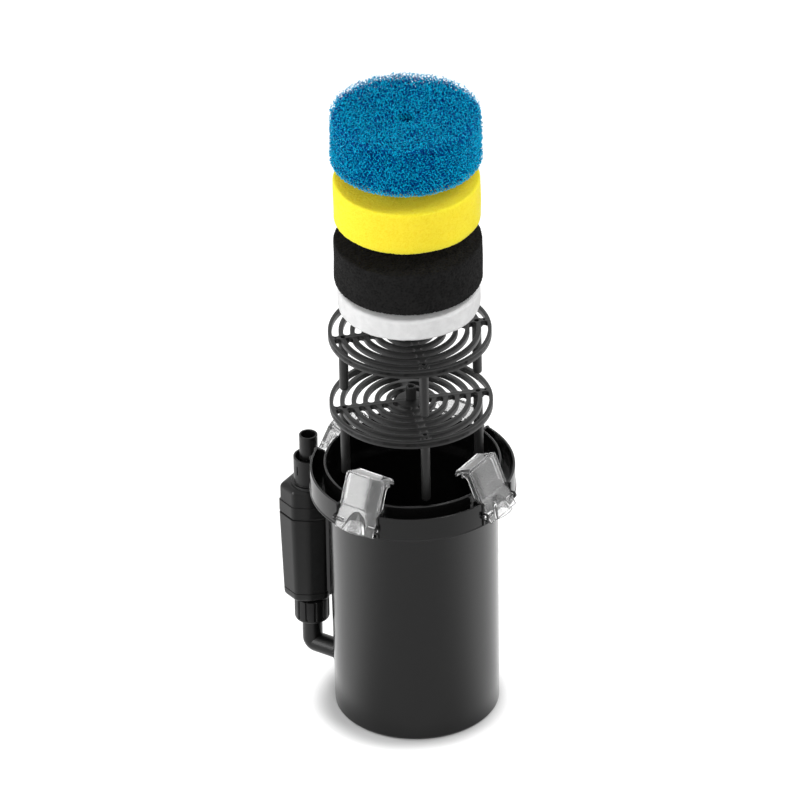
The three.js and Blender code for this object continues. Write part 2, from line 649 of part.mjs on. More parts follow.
const centreStem = revolve([
  [0, -GRID_THICKNESS],
  [STEM_PEG_RADIUS, -GRID_THICKNESS],
  [STEM_PEG_RADIUS, FIT],
  [STEM_RADIUS, FIT],
  [STEM_RADIUS, STEM_RISE - EDGE],
  [STEM_RADIUS - EDGE, STEM_RISE],
  [0, STEM_RISE],
], SMALL);
place('centre_stem', centreStem, GRID_BLACK).position.z = LOWER_GRID_TOP;

// Pads --------------------------------------------------------------------------------------

// a round pad with soft edges; a bored one is dished towards its bore
function pad({ inset: edge, thickness, round, dish, bore }) {
  const radius = GRID_RADIUS - edge;
  return revolve([
    [bore, 0],
    ...quarterArc(radius - round, round, round, -Math.PI / 2),
    ...quarterArc(radius - round, thickness - round, round, 0),
    [bore, thickness - dish],
  ], LARGE);
}
const PAD_FINISHES = {
  white_floss_pad: WHITE_FLOSS,
  black_foam_pad: BLACK_FOAM,
  yellow_foam_pad: YELLOW_FOAM,
  blue_foam_pad: BLUE_FOAM,
};
let stackTop = UPPER_GRID_TOP;
for (const [name, size] of Object.entries(PADS)) {
  place(name, pad(size), PAD_FINISHES[name]).position.z = stackTop + size.gap;
  stackTop += size.gap + size.thickness;
}

// Pump --------------------------------------------------------------------------------------

// its own frame: Z is the pump's axis, +X points away from the tub
const pump = new THREE.Group();
pump.position.x = PUMP_RADIUS;
pumpSide.add(pump);

const section = [
  ...PUMP_SECTION.map(([x, y]) => [x, -y]).reverse(),
  ...PUMP_SECTION,
];
const outlineAt = (distance) => rounded(inset(section, distance), PUMP_CORNER);
const draftAt = (z) => PUMP_DRAFT * (SEAM_HEIGHT - z) / (SEAM_HEIGHT - COVER_BOTTOM);
const BULKHEAD_TOP = COVER_TOP + CHAMBER_HEIGHT + BULKHEAD;
const WELL_TOP = BULKHEAD_TOP + WELL_HEIGHT;
const SPIDER_BOTTOM = COVER_BOTTOM + COVER_FLOOR;
const SHAFT_BOTTOM = SPIDER_BOTTOM + FIT;

function chamberCover() {
  const shell = loft([
    [outlineAt(PUMP_DRAFT + COVER_BEVEL), COVER_BOTTOM],
    [outlineAt(draftAt(COVER_BOTTOM)), COVER_BOTTOM + COVER_BEVEL],
    [outlineAt(draftAt(COVER_TOP)), COVER_TOP],
  ]);
  const spigot = rod(SPIGOT_RADIUS, COVER_BOTTOM - SPIGOT_LENGTH, COVER_BOTTOM + OVER);
  const room = rod(CHAMBER_RADIUS, SPIDER_BOTTOM, COVER_TOP + OVER);
  const inlet = rod(SPIGOT_BORE, COVER_BOTTOM - SPIGOT_LENGTH - OVER, SPIDER_BOTTOM + OVER);
  const hub = rod(SPIDER_HUB, COVER_BOTTOM, COVER_TOP - IMPELLER_DISC, SMALL);
  const [barWidth, barHeight] = SPIDER_BAR;
  const bar = block([-CHAMBER_RADIUS - OVER, CHAMBER_RADIUS + OVER],
    [-barWidth / 2, barWidth / 2], [COVER_BOTTOM, COVER_BOTTOM + barHeight]);
  const bushSeat = rod(BUSH_RADIUS + FIT, SPIDER_BOTTOM, COVER_TOP + OVER, SMALL);
  return cut(cut(join(shell, spigot), room, inlet).add(join(hub, bar)), bushSeat);
}
place('impeller_chamber_cover', chamberCover(), BLACK_PLASTIC, pump);

function pumpHousing() {
  const shell = loft([
    [outlineAt(draftAt(HOUSING_BOTTOM) + EDGE), HOUSING_BOTTOM],
    [outlineAt(draftAt(HOUSING_BOTTOM)), HOUSING_BOTTOM + EDGE],
    [outlineAt(draftAt(SEAM_HEIGHT)), SEAM_HEIGHT],
  ]);
  const motorRoom = loft([
    [outlineAt(draftAt(BULKHEAD_TOP) + PUMP_WALL), BULKHEAD_TOP],
    [outlineAt(PUMP_WALL), SEAM_HEIGHT + OVER],
  ]);
  const well = rod(WELL_RADIUS + WELL_WALL, BULKHEAD_TOP - OVER, WELL_TOP + WELL_WALL);
  const duct = rod(DUCT_RADIUS + DUCT_WALL, BULKHEAD_TOP - OVER, SEAM_HEIGHT, SMALL)
    .translate(DUCT_OFFSET, 0, 0);
  const chamber = rod(CHAMBER_RADIUS, HOUSING_BOTTOM - OVER, BULKHEAD_TOP - BULKHEAD);
  const [voluteWidth, voluteHeight] = VOLUTE;
  const voluteBottom = BULKHEAD_TOP - BULKHEAD - voluteHeight;
  const wayUp = rod(DUCT_RADIUS, voluteBottom, SEAM_HEIGHT + OVER, SMALL)
    .translate(DUCT_OFFSET, 0, 0);
  const wayOut = block([0, DUCT_OFFSET], [-voluteWidth / 2, voluteWidth / 2],
    [voluteBottom, voluteBottom + voluteHeight]);
  const rotorWell = rod(WELL_RADIUS, BULKHEAD_TOP - BULKHEAD - OVER, WELL_TOP);
  const hollow = cut(join(shell), motorRoom);
  return cut(hollow.add(join(well, duct)), chamber, wayUp, wayOut, rotorWell);
}
place('pump_housing', pumpHousing(), BLACK_PLASTIC, pump);

function motorBlock() {
  const low = BULKHEAD_TOP + FIT;
  const body = loft([
    [outlineAt(draftAt(low) + PUMP_WALL + FIT), low],
    [outlineAt(draftAt(low + MOTOR_HEIGHT) + PUMP_WALL + FIT), low + MOTOR_HEIGHT],
  ]);
  const wellRoom = rod(WELL_RADIUS + WELL_WALL + FIT, low - OVER, WELL_TOP + WELL_WALL + FIT);
  const ductRoom = rod(DUCT_RADIUS + DUCT_WALL + FIT, low - OVER, low + MOTOR_HEIGHT + OVER, SMALL)
    .translate(DUCT_OFFSET, 0, 0);
  return cut(join(body), wellRoom, ductRoom);
}
place('motor_block', motorBlock(), RESIN, pump);

const ROTOR_BOTTOM = BULKHEAD_TOP - BULKHEAD;
const IMPELLER_TOP = ROTOR_BOTTOM - FIT;
place('rotor_magnet', ring(SHAFT_RADIUS + SHAFT_PLAY, ROTOR_RADIUS, ROTOR_BOTTOM,
  ROTOR_BOTTOM + ROTOR_LENGTH), FERRITE, pump);

function impeller() {
  const bottom = IMPELLER_TOP - IMPELLER_HEIGHT;
  const disc = rod(IMPELLER_RADIUS, IMPELLER_TOP - IMPELLER_DISC, IMPELLER_TOP);
  const hub = rod(IMPELLER_HUB, bottom, IMPELLER_TOP, SMALL);
  const vanes = Array.from({ length: VANE_COUNT }, (_, i) => {
    const vane = block([0, IMPELLER_RADIUS - EDGE],
      [-VANE_THICKNESS / 2, VANE_THICKNESS / 2], [bottom, IMPELLER_TOP - IMPELLER_DISC / 2]);
    return vane.rotateZ(2 * Math.PI * i / VANE_COUNT);
  });
  const bore = rod(SHAFT_RADIUS + SHAFT_PLAY, bottom - OVER, IMPELLER_TOP + OVER, SMALL);
  return cut(join(disc, hub, ...vanes), bore);
}
place('impeller', impeller(), GRID_BLACK, pump);

const BUSH_TOP_SEAT = WELL_TOP - FIT;
place('rotor_shaft', rod(SHAFT_RADIUS, SHAFT_BOTTOM + FIT, BUSH_TOP_SEAT - FIT, SMALL), CERAMIC, pump);

// a rubber cup that holds one end of the shaft; drawn open upwards
function shaftBush() {
  return revolve([
    [0, 0],
    [BUSH_RADIUS, 0],
    [BUSH_RADIUS, BUSH_LENGTH],
    [SHAFT_RADIUS + FIT / 2, BUSH_LENGTH],
    [SHAFT_RADIUS + FIT / 2, FIT],
    [0, FIT],
  ], SMALL);
}
place('lower_shaft_bush', shaftBush(), BLACK_RUBBER, pump).position.z = SHAFT_BOTTOM - FIT;

// Cap, seal and outlet ----------------------------------------------------------------------

const capSeal = join(loft([
  [outlineAt(SEAL_INSET), SEAM_HEIGHT + FIT],
  [outlineAt(SEAL_INSET), SEAM_HEIGHT + FIT + SEAL_THICKNESS],
])).subtract(solid(loft([
  [outlineAt(PUMP_WALL), SEAM_HEIGHT],
  [outlineAt(PUMP_WALL), CAP_BOTTOM],
])));
place('cap_seal', capSeal, BLACK_RUBBER, pump);

function pumpCap() {
  const lip = CAP_BOTTOM + CAP_BAND;
  const shell = loft([
    [outlineAt(0), CAP_BOTTOM],
    [outlineAt(0), lip],
    [outlineAt(CAP_LIP), lip + CAP_LIP],
    ...quarterArc(-CAP_LIP - CAP_SHOULDER, CAP_TOP - CAP_SHOULDER, CAP_SHOULDER, 0)
      .map(([x, z]) => [outlineAt(-x), z]),
  ]);
  const room = loft([
    [outlineAt(PUMP_WALL), CAP_BOTTOM - OVER],
    [outlineAt(PUMP_WALL + CAP_LIP), CAP_TOP - CAP_ROOF - CAP_SHOULDER],
  ]);
  const stack = revolve([
    [0, CAP_TOP - CAP_ROOF],
    [SOCKET_RING_RADIUS, CAP_TOP - CAP_ROOF],
    [SOCKET_RING_RADIUS, SOCKET_FOOT - EDGE],
    [SOCKET_RING_RADIUS - EDGE, SOCKET_FOOT],
    [SOCKET_RADIUS, SOCKET_FOOT],
    [SOCKET_RADIUS, SOCKET_TOP - EDGE],
    [SOCKET_RADIUS - EDGE, SOCKET_TOP],
    [0, SOCKET_TOP],
  ], MEDIUM);
  const duct = rod(PIPE_BORE, CAP_TOP - CAP_ROOF - CAP_SHOULDER - OVER, SOCKET_TOP);
  const pipeSeat = rod(PIPE_RADIUS + FIT, SOCKET_FOOT + PIPE_SEAT - FIT, SOCKET_TOP);
  const mouth = rod(SOCKET_MOUTH_RADIUS, SOCKET_TOP - SOCKET_MOUTH_DEPTH, SOCKET_TOP + OVER);
  const [slotWidth, slotHeight, slotDrop] = SOCKET_SLOT;
  const slotMiddle = SOCKET_TOP - slotDrop;
  const slot = block([SOCKET_MOUTH_RADIUS - OVER, SOCKET_RADIUS + OVER],
    [-slotWidth / 2, slotWidth / 2], [slotMiddle - slotHeight / 2, slotMiddle + slotHeight / 2])
    .rotateZ(radians(SOCKET_SLOT_ANGLE));
  return cut(join(shell, stack), room, duct, pipeSeat, mouth, slot);
}
place('pump_cap', pumpCap(), BLACK_PLASTIC, pump);

place('outlet_pipe', ring(PIPE_BORE, PIPE_RADIUS, SOCKET_FOOT + PIPE_SEAT, PIPE_TOP),
  BLACK_PLASTIC, pump);

// Union, elbow and its grommet --------------------------------------------------------------

const SPIGOT_FOOT = COVER_BOTTOM - SPIGOT_LENGTH;
const UNION_SEAL_TOP = SPIGOT_FOOT - FIT;
const ELBOW_TOP = UNION_SEAL_TOP - UNION_SEAL - FIT;
const NUT_SEAT = ELBOW_TOP - ELBOW_FLANGE - FIT;
const NUT_BOTTOM = NUT_SEAT - NUT_FLANGE;

place('union_seal', ring(SPIGOT_BORE, ELBOW_FLANGE_RADIUS, UNION_SEAL_TOP - UNION_SEAL,
  UNION_SEAL_TOP), BLACK_RUBBER, pump);

function unionNut() {
  const top = Math.min(NUT_BOTTOM + NUT_HEIGHT, COVER_BOTTOM - FIT);
  const [grooveWidth, grooveDepth] = NUT_GROOVE;
  const [bevelInset, bevelHeight] = NUT_BEVEL;
  const body = revolve([
    [ELBOW_RADIUS + FIT, NUT_BOTTOM],
    [NUT_RADIUS - bevelInset, NUT_BOTTOM],
    [NUT_RADIUS, NUT_BOTTOM + bevelHeight],
    [NUT_RADIUS, top - EDGE],
    [NUT_RADIUS - EDGE, top],
    [SPIGOT_RADIUS + FIT, top],
    [SPIGOT_RADIUS + FIT, NUT_SEAT],
    [ELBOW_RADIUS + FIT, NUT_SEAT],
  ], MEDIUM);
  const grooves = Array.from({ length: NUT_RIBS }, (_, i) => block(
    [NUT_RADIUS - grooveDepth, NUT_RADIUS + OVER], [-grooveWidth / 2, grooveWidth / 2],
    [NUT_BOTTOM + NUT_SKIRT, top + OVER]).rotateZ(2 * Math.PI * (i + 0.5) / NUT_RIBS));
  return cut(join(body), ...grooves);
}
place('union_nut', unionNut(), BLACK_PLASTIC, pump);

// a round pipe through [x, z] points in the pump's upright plane, mitred at each turn
function mitredPipe(points, radius, facets) {
  const directions = points.slice(1).map(([x, z], i) => {
    const [px, pz] = points[i];
    const length = Math.hypot(x - px, z - pz);
    return [(x - px) / length, (z - pz) / length];
  });
  const rings = points.map(([x, z], i) => {
    const before = directions[Math.max(i - 1, 0)];
    const after = directions[Math.min(i, directions.length - 1)];
    const sum = [before[0] + after[0], before[1] + after[1]];
    const stretch = 2 / (sum[0] ** 2 + sum[1] ** 2);
    const normal = [sum[1] * stretch, -sum[0] * stretch];
    return Array.from({ length: facets }, (_, k) => {
      const angle = 2 * Math.PI * k / facets;
      const side = radius * Math.cos(angle);
      return [x + normal[0] * side, radius * Math.sin(angle), z + normal[1] * side];
    });
  });
  return skin(rings);
}

function elbow() {
  const inside = tubRadiusAt(ELBOW_HEIGHT) - TUB_WALL - PUMP_RADIUS;
  const route = (extra) => [
    [0, ELBOW_TOP + extra],
    [0, ELBOW_HEIGHT + ELBOW_MITRE],
    [-ELBOW_MITRE, ELBOW_HEIGHT],
    [inside - extra, ELBOW_HEIGHT],
  ];
  const flange = rod(ELBOW_FLANGE_RADIUS, ELBOW_TOP - ELBOW_FLANGE, ELBOW_TOP);
  const outer = mitredPipe(route(0), ELBOW_RADIUS, MEDIUM);
  return cut(join(flange, outer), mitredPipe(route(OVER), ELBOW_RADIUS - ELBOW_WALL, MEDIUM));
}
place('elbow_pipe', elbow(), BLACK_PLASTIC, pump);

function elbowGrommet() {
  const inside = tubRadiusAt(ELBOW_HEIGHT) - TUB_WALL - PUMP_RADIUS;
  const face = PORT_BOSS_REACH + FIT - PUMP_RADIUS;
  const [flangeRadius, flangeThickness] = GROMMET_FLANGE;
  return layAlongX(revolve([
    [ELBOW_RADIUS + FIT, inside],
    [ELBOW_RADIUS + FIT + GROMMET_WALL, inside],
    [ELBOW_RADIUS + FIT + GROMMET_WALL, face],
    [flangeRadius, face],
    [flangeRadius, face + flangeThickness],
    [ELBOW_RADIUS + FIT, face + flangeThickness],
  ], MEDIUM)).translate(0, 0, ELBOW_HEIGHT);
}
place('elbow_grommet', elbowGrommet(), BLACK_RUBBER, pump);

// Bracket, screws and cable gland -----------------------------------------------------------

const BRACKET_BACK = BRACKET_LUG_REACH + FIT;
const BRACKET_FACE = BRACKET_BACK + BRACKET_PLATE;

function bracket() {
  const [low, high] = BRACKET_SPAN;
  const halfWidth = BRACKET_WIDTH / 2;
  const pumpFlat = PUMP_RADIUS + PUMP_SECTION[3][0] - FIT;
  const railHalf = PUMP_SECTION[3][1];
  const plate = block([BRACKET_BACK, BRACKET_FACE], [-halfWidth, halfWidth], [low, high]);
  const rails = [-railHalf, railHalf - BRACKET_RAIL].map((y) =>
    block([BRACKET_FACE - OVER, pumpFlat], [y, y + BRACKET_RAIL], [low, high]));
  const holes = Object.values(BRACKET_LUG_HEIGHTS).map((z) => layAlongX(
    rod(SCREW_RADIUS + FIT, BRACKET_BACK - OVER, BRACKET_FACE + OVER, SMALL)).translate(0, 0, z));
  return cut(join(plate, ...rails), ...holes);
}
place('pump_bracket', bracket(), BLACK_PLASTIC, pumpSide);

for (const [name, z] of Object.entries(BRACKET_LUG_HEIGHTS)) {
  const [headRadius, headThickness] = SCREW_HEAD;
  const screw = layAlongX(revolve([
    [0, BRACKET_FACE + FIT - SCREW_LENGTH],
    [SCREW_RADIUS, BRACKET_FACE + FIT - SCREW_LENGTH],
    [SCREW_RADIUS, BRACKET_FACE + FIT],
    [headRadius, BRACKET_FACE + FIT],
    [headRadius, BRACKET_FACE + FIT + headThickness],
    [0, BRACKET_FACE + FIT + headThickness],
  ], SMALL)).translate(0, 0, z);
  place(`${name}_bracket_screw`, screw, STEEL, pumpSide);
}

// a bare gland on the pump's slanted outer flank, where its mains lead would leave
const gland = layAlongX(revolve([
  [0, FIT],
  [GLAND_RADIUS, FIT],
  [GLAND_RADIUS, GLAND_COLLAR],
  [GLAND_TIP_RADIUS, GLAND_LENGTH],
  [0, GLAND_LENGTH],
], SMALL));
const [[frontX, frontY], [backX, backY]] = PUMP_SECTION;
const outward = new THREE.Vector2(backY - frontY, frontX - backX).normalize();
const flank = new THREE.Vector2((frontX + backX) / 2, (frontY + backY) / 2)
  .addScaledVector(outward, -draftAt(GLAND_HEIGHT));
const glandMesh = place('cable_gland', gland, BLACK_RUBBER, pump);
glandMesh.position.set(flank.x, GLAND_SIDE * flank.y, GLAND_HEIGHT);
glandMesh.rotation.z = GLAND_SIDE * outward.angle();

export default group;
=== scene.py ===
# %% [markdown]
# # A canister filter, drawn apart
#
# The real object is an external aquarium filter photographed on white: a glossy black tub with
# four clear clips, a pump hung on its side, two slotted grids and four round filter pads in one
# stack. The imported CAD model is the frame: it gives every size, place and joint. This script adds
# the looks.

# %% Load the frame and note the CAD model's box
import json
import math

import bmesh
import bpy
import numpy as np
from mathutils import Matrix, Vector, noise


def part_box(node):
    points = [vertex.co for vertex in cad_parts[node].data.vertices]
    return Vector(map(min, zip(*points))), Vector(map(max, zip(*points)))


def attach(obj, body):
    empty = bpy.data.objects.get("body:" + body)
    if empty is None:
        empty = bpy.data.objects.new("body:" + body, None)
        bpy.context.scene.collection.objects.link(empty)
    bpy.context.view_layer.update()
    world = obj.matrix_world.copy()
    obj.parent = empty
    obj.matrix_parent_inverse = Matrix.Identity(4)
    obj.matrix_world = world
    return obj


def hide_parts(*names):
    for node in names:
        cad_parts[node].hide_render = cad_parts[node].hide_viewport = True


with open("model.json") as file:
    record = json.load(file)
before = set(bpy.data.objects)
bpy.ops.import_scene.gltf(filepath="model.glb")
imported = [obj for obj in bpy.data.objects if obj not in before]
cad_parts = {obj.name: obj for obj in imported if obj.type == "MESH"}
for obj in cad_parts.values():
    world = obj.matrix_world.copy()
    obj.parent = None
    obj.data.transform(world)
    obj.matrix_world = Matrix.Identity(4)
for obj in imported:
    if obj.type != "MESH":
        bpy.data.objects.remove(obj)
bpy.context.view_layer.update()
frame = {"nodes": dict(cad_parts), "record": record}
MM = 0.001

# %% [markdown]
# ## Camera
#
# The photograph was taken from far away with a long lens, so upright lines stay parallel and the
# foot is drawn as large as the top. An orthographic camera could do that. A camera at 30 m with a
# very long lens does it too, and stays an ordinary camera for every other view. It looks down by
# 32.5 degrees, from a little to the right of the front left leg, and it is rolled by just over
# one degree, because the stack leans left as it goes up. The picture is 800 x 800, and 1.05
# pixels cover a millimetre where the camera aims.

# %% The camera
CAMERA_DISTANCE, CAMERA_CLIP = 30.0, (0.5, 100)
CAMERA_ELEVATION = math.radians(32.5)
CAMERA_HEADING = math.radians(79)  # level direction it looks along, counted from +X
CAMERA_ROLL = math.radians(1.21)
SENSOR, PICTURE, PIXELS_PER_MM = 36.0, 800, 1.05
AIM_HEIGHT = 336 * MM  # point of the tub's axis at the picture's middle height
AIM_ASIDE = -10.7 * MM  # and how far left of it the picture's middle lies
AHEAD = Vector((math.cos(CAMERA_HEADING), math.sin(CAMERA_HEADING), 0))
RIGHT = Vector((AHEAD.y, -AHEAD.x, 0))


def in_scene(name, data):
    """A new object that holds some data, linked to the scene."""
    made = bpy.data.objects.new(name, data)
    bpy.context.scene.collection.objects.link(made)
    return made


def aim_camera():
    view = AHEAD * math.cos(CAMERA_ELEVATION) - Vector((0, 0, math.sin(CAMERA_ELEVATION)))
    up = RIGHT.cross(view)
    rolled_right = RIGHT * math.cos(CAMERA_ROLL) - up * math.sin(CAMERA_ROLL)
    rolled_up = up * math.cos(CAMERA_ROLL) + RIGHT * math.sin(CAMERA_ROLL)
    target = Vector((0, 0, AIM_HEIGHT)) + rolled_right * AIM_ASIDE
    data = bpy.data.cameras.new("camera")
    data.sensor_width = SENSOR
    data.lens = PIXELS_PER_MM * SENSOR / PICTURE * CAMERA_DISTANCE / MM
    data.clip_start, data.clip_end = CAMERA_CLIP
    facing = Matrix((rolled_right, rolled_up, -view)).transposed().to_4x4()
    camera = in_scene("camera", data)
    camera.matrix_world = Matrix.Translation(target - view * CAMERA_DISTANCE) @ facing
    bpy.context.scene.camera = camera
    return camera


print("lens in mm:", round(aim_camera().data.lens, 1))

# %% [markdown]
# ## Shader maths
#
# A finish is a Principled shader with a few nodes in front of it. They could be clicked together
# in the shader editor, but code can be read and changed in one place. `Wire` wraps one output
# socket, so that node maths reads as plain arithmetic, and `Nodes.node` adds any other node.

# %% Wires and node trees
class Wire:
    """One output socket. Arithmetic on it adds Math nodes."""

    def __init__(self, nodes, socket):
        self.nodes, self.socket = nodes, socket

    def __add__(self, other):
        return self.nodes.maths("ADD", self, other)

    def __mul__(self, other):
        return self.nodes.maths("MULTIPLY", self, other)

    def __truediv__(self, other):
        return self.nodes.maths("DIVIDE", self, other)

    def __rtruediv__(self, other):
        return self.nodes.maths("DIVIDE", other, self)

    __radd__, __rmul__ = __add__, __mul__


class Nodes:
    """A node tree, with short ways to add to it."""

    def __init__(self, tree):
        self.tree = tree

    def feed(self, socket, value):
        if isinstance(value, Wire):
            self.tree.links.new(value.socket, socket)
        else:
            socket.default_value = value

    def node(self, kind, settings=None, inputs=None, output=0):
        made = self.tree.nodes.new(kind)
        for name, value in (settings or {}).items():
            setattr(made, name, value)
        for key, value in (inputs or {}).items():
            self.feed(made.inputs[key], value)
        return Wire(self, made.outputs[output])

    def maths(self, operation, a, b):
        return self.node("ShaderNodeMath", {"operation": operation}, {0: a, 1: b})

    def ramp(self, value, start, stop, low=0.0, high=1.0, smooth=False):
        """Goes from low to high while a value goes from start to stop."""
        settings = {"interpolation_type": "SMOOTHSTEP" if smooth else "LINEAR"}
        ends = {0: value, 1: start, 2: stop, 3: low, 4: high}
        return self.node("ShaderNodeMapRange", settings, ends)

    def vector(self, operation, first, second=(0, 0, 0), output=0):
        """Vector maths. Output 1 is a number, such as a length."""
        inputs = {0: first, 1: second}
        return self.node("ShaderNodeVectorMath", {"operation": operation}, inputs, output)


print("node maths on wires: + * /")

# %% Finishes
CLOUD_LOW, CLOUD_HIGH = 0.3, 0.7  # nearly all of the noise lies between these


class Finish(Nodes):
    """A material: a Principled shader and the nodes that feed it."""

    def __init__(self, name, **constants):
        self.material = bpy.data.materials.new(name)
        self.material.use_nodes = True
        super().__init__(self.material.node_tree)
        self.shade(**constants)

    def shade(self, **inputs):
        """Sets or links the shader's sockets, and gives the material. An underline is a space."""
        shader = self.tree.nodes["Principled BSDF"]
        for socket, value in inputs.items():
            self.feed(shader.inputs[socket.replace("_", " ")], value)
        return self.material

    def grain(self, size_mm, detail=2.0, roughness=0.5):
        """Noise from 0 to 1, with features of about size_mm."""
        here = self.node("ShaderNodeTexCoord", output="Object")
        scale = (1 / MM / size_mm,) * 3
        spread = self.node("ShaderNodeMapping", inputs={"Vector": here, "Scale": scale})
        inputs = {"Vector": spread, "Scale": 1.0, "Detail": detail, "Roughness": roughness}
        cloud = self.node("ShaderNodeTexNoise", inputs=inputs)
        return self.ramp(cloud, CLOUD_LOW, CLOUD_HIGH)

    def blend(self, amount, first, second):
        """Mixes two colours by a value from 0 to 1."""
        inputs = {0: amount, 6: first, 7: second}
        return self.node("ShaderNodeMix", {"data_type": "RGBA"}, inputs, output=2)

    def bump(self, height, strength, depth_mm):
        inputs = {"Height": height, "Strength": strength, "Distance": depth_mm * MM}
        return self.node("ShaderNodeBump", inputs=inputs)


def grey(level):
    return (level, level, level, 1)


print("noise is spread from", CLOUD_LOW, "to", CLOUD_HIGH)

# %% [markdown]
# ## Finishes of the moulded plastic
#
# The tub is injection-moulded and glossy, so most of what one sees is the white studio mirrored
# in it: dark in the middle, paler towards its sides. That dark middle is partly a painted
# reflection, from the floor's glow that gloss barely sees in front of the tub. Its own colour is
# near black. One flat black would look like paint, and a picture of plastic would stretch over the
# curved walls, so each plastic gets the faint unevenness of a moulding from noise: a slow
# waviness, fine pores and rubbed spots.

# %% Plastics and rubber
WAVE_STRENGTH, RUB = 2.4, 0.05  # the slow waviness, and how much duller the rubbed spots are


def plastic(name, color, gloss, pores=0.1, **constants):
    made = Finish(name, IOR=1.46, **constants)
    wear = made.grain(9, detail=6, roughness=0.65)
    fine, slow = made.grain(0.7, detail=3), made.grain(22, detail=1)
    return made.shade(
        Base_Color=made.blend(wear, grey(color), grey(color * 1.35)),
        Roughness=gloss + RUB * wear,
        Normal=made.bump(slow * WAVE_STRENGTH + fine * pores, 0.35, 0.02),
    )


TUB_PLASTIC = plastic("tub_plastic", 0.0022, 0.15)
PUMP_PLASTIC = plastic("pump_plastic", 0.0030, 0.30, pores=0.4, Specular_IOR_Level=0.36)
GRID_PLASTIC = plastic("grid_plastic", 0.0095, 0.36, pores=0.4)
RUBBER = plastic("rubber", 0.010, 0.75, pores=0.8)
RESIN = plastic("resin", 0.018, 0.55)
FERRITE = plastic("ferrite", 0.03, 0.5)
CERAMIC = plastic("ceramic", 0.8, 0.25)
print("plastics:", len(bpy.data.materials))


# %% Steel and clear plastic
def steel():
    made = Finish("steel", Metallic=1.0)
    brushed = made.grain(0.3, detail=2)
    return made.shade(
        Base_Color=made.blend(brushed, grey(0.5), grey(0.62)),
        Roughness=0.25 + 0.15 * brushed,
    )


def clear_plastic():
    """Clear polycarbonate: it shows what is behind it, with a pale haze and sharp gloss."""
    made = Finish("clear_plastic", IOR=1.52, Transmission_Weight=0.965)
    haze = made.grain(14, detail=3)
    return made.shade(
        Base_Color=made.blend(haze, grey(0.80), grey(0.92)),
        Roughness=0.05 + 0.05 * haze,
        Normal=made.bump(made.grain(16, detail=1), 0.15, 0.1),
    )


STEEL, CLEAR = steel(), clear_plastic()
print("and:", STEEL.name, CLEAR.name)

# %% [markdown]
# ## Building pieces
#
# Nearly every part here is turned, swept or moulded, so its surface can be written as rows of
# points. Plain meshes with bevels would do as well, but rows put each edge exactly where it
# belongs. A `Form` gathers closed surfaces in millimetres: rows of points skinned into a wall,
# with a cap at each end or joined into a ring. Each surface gets its own square of the UV map.
# `Form.piece` makes one object of them, puts it in its CAD node's place, and says which body it
# rides on.

# %% Pieces and their nodes
body_of = {
    node: body
    for body, nodes in frame["record"]["behaviour"]["bodies"].items()
    for node in nodes
}
slot_of = {part["node"]: part["material_slot"] for part in frame["record"]["subparts"]}


def dress(piece, node, finish):
    """Puts a finished piece in place of a CAD node."""
    piece.data.materials.clear()
    piece.data.materials.append(finish)
    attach(piece, body_of[node])
    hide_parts(node)
    return piece


def smooth(mesh, crease_degrees=38):
    mesh.shade_smooth()
    mesh.set_sharp_from_angle(angle=math.radians(crease_degrees))


def settle(piece):
    """Applies a piece's modifiers to its mesh."""
    shape = piece.evaluated_get(bpy.context.evaluated_depsgraph_get())
    mesh = bpy.data.meshes.new_from_object(shape)
    piece.modifiers.clear()
    piece.data = mesh
    return piece


def cut_out(piece, tool, solver):
    """Takes one object's shape out of another's, and removes it."""
    cut = piece.modifiers.new("cut", "BOOLEAN")
    cut.operation, cut.object, cut.solver = "DIFFERENCE", tool, solver
    settle(piece)
    bpy.data.objects.remove(tool)
    smooth(piece.data)
    return piece


def size_of(node):
    """A CAD node's lowest and highest corner, in millimetres."""
    low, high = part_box(node)
    return np.array(low) / MM, np.array(high) / MM


def levels_of(node):
    """The heights of a CAD node's bottom and top, in millimetres."""
    low, high = size_of(node)
    return low[2], high[2]


print("nodes:", len(body_of), "on bodies:", len(set(body_of.values())))


# %% Places
def moved(points, place):
    """Points in millimetres after a 4 x 4 placing matrix."""
    if place is None:
        return points
    place = np.array(place)
    return np.asarray(points) @ place[:3, :3].T + place[:3, 3]


def shift(x=0.0, y=0.0, z=0.0):
    return Matrix.Translation((x, y, z))


def turn(degrees, axis="Z"):
    return Matrix.Rotation(math.radians(degrees), 4, axis)


ALONG_X = turn(90, "Y")  # lays what is turned about Z along +X
print("a point on Z, laid along X:", moved([(0, 0, 1)], ALONG_X).round(3)[0])

# %% Forms
SEGMENTS = 240  # round a full turn
WALL_SHARE = 0.8  # of a surface's square of the UV map; the two caps lie above it
CAP_RADIUS, CAP_MIDDLES, CAP_LEVEL = 0.09, (0.12, 0.35), 0.9


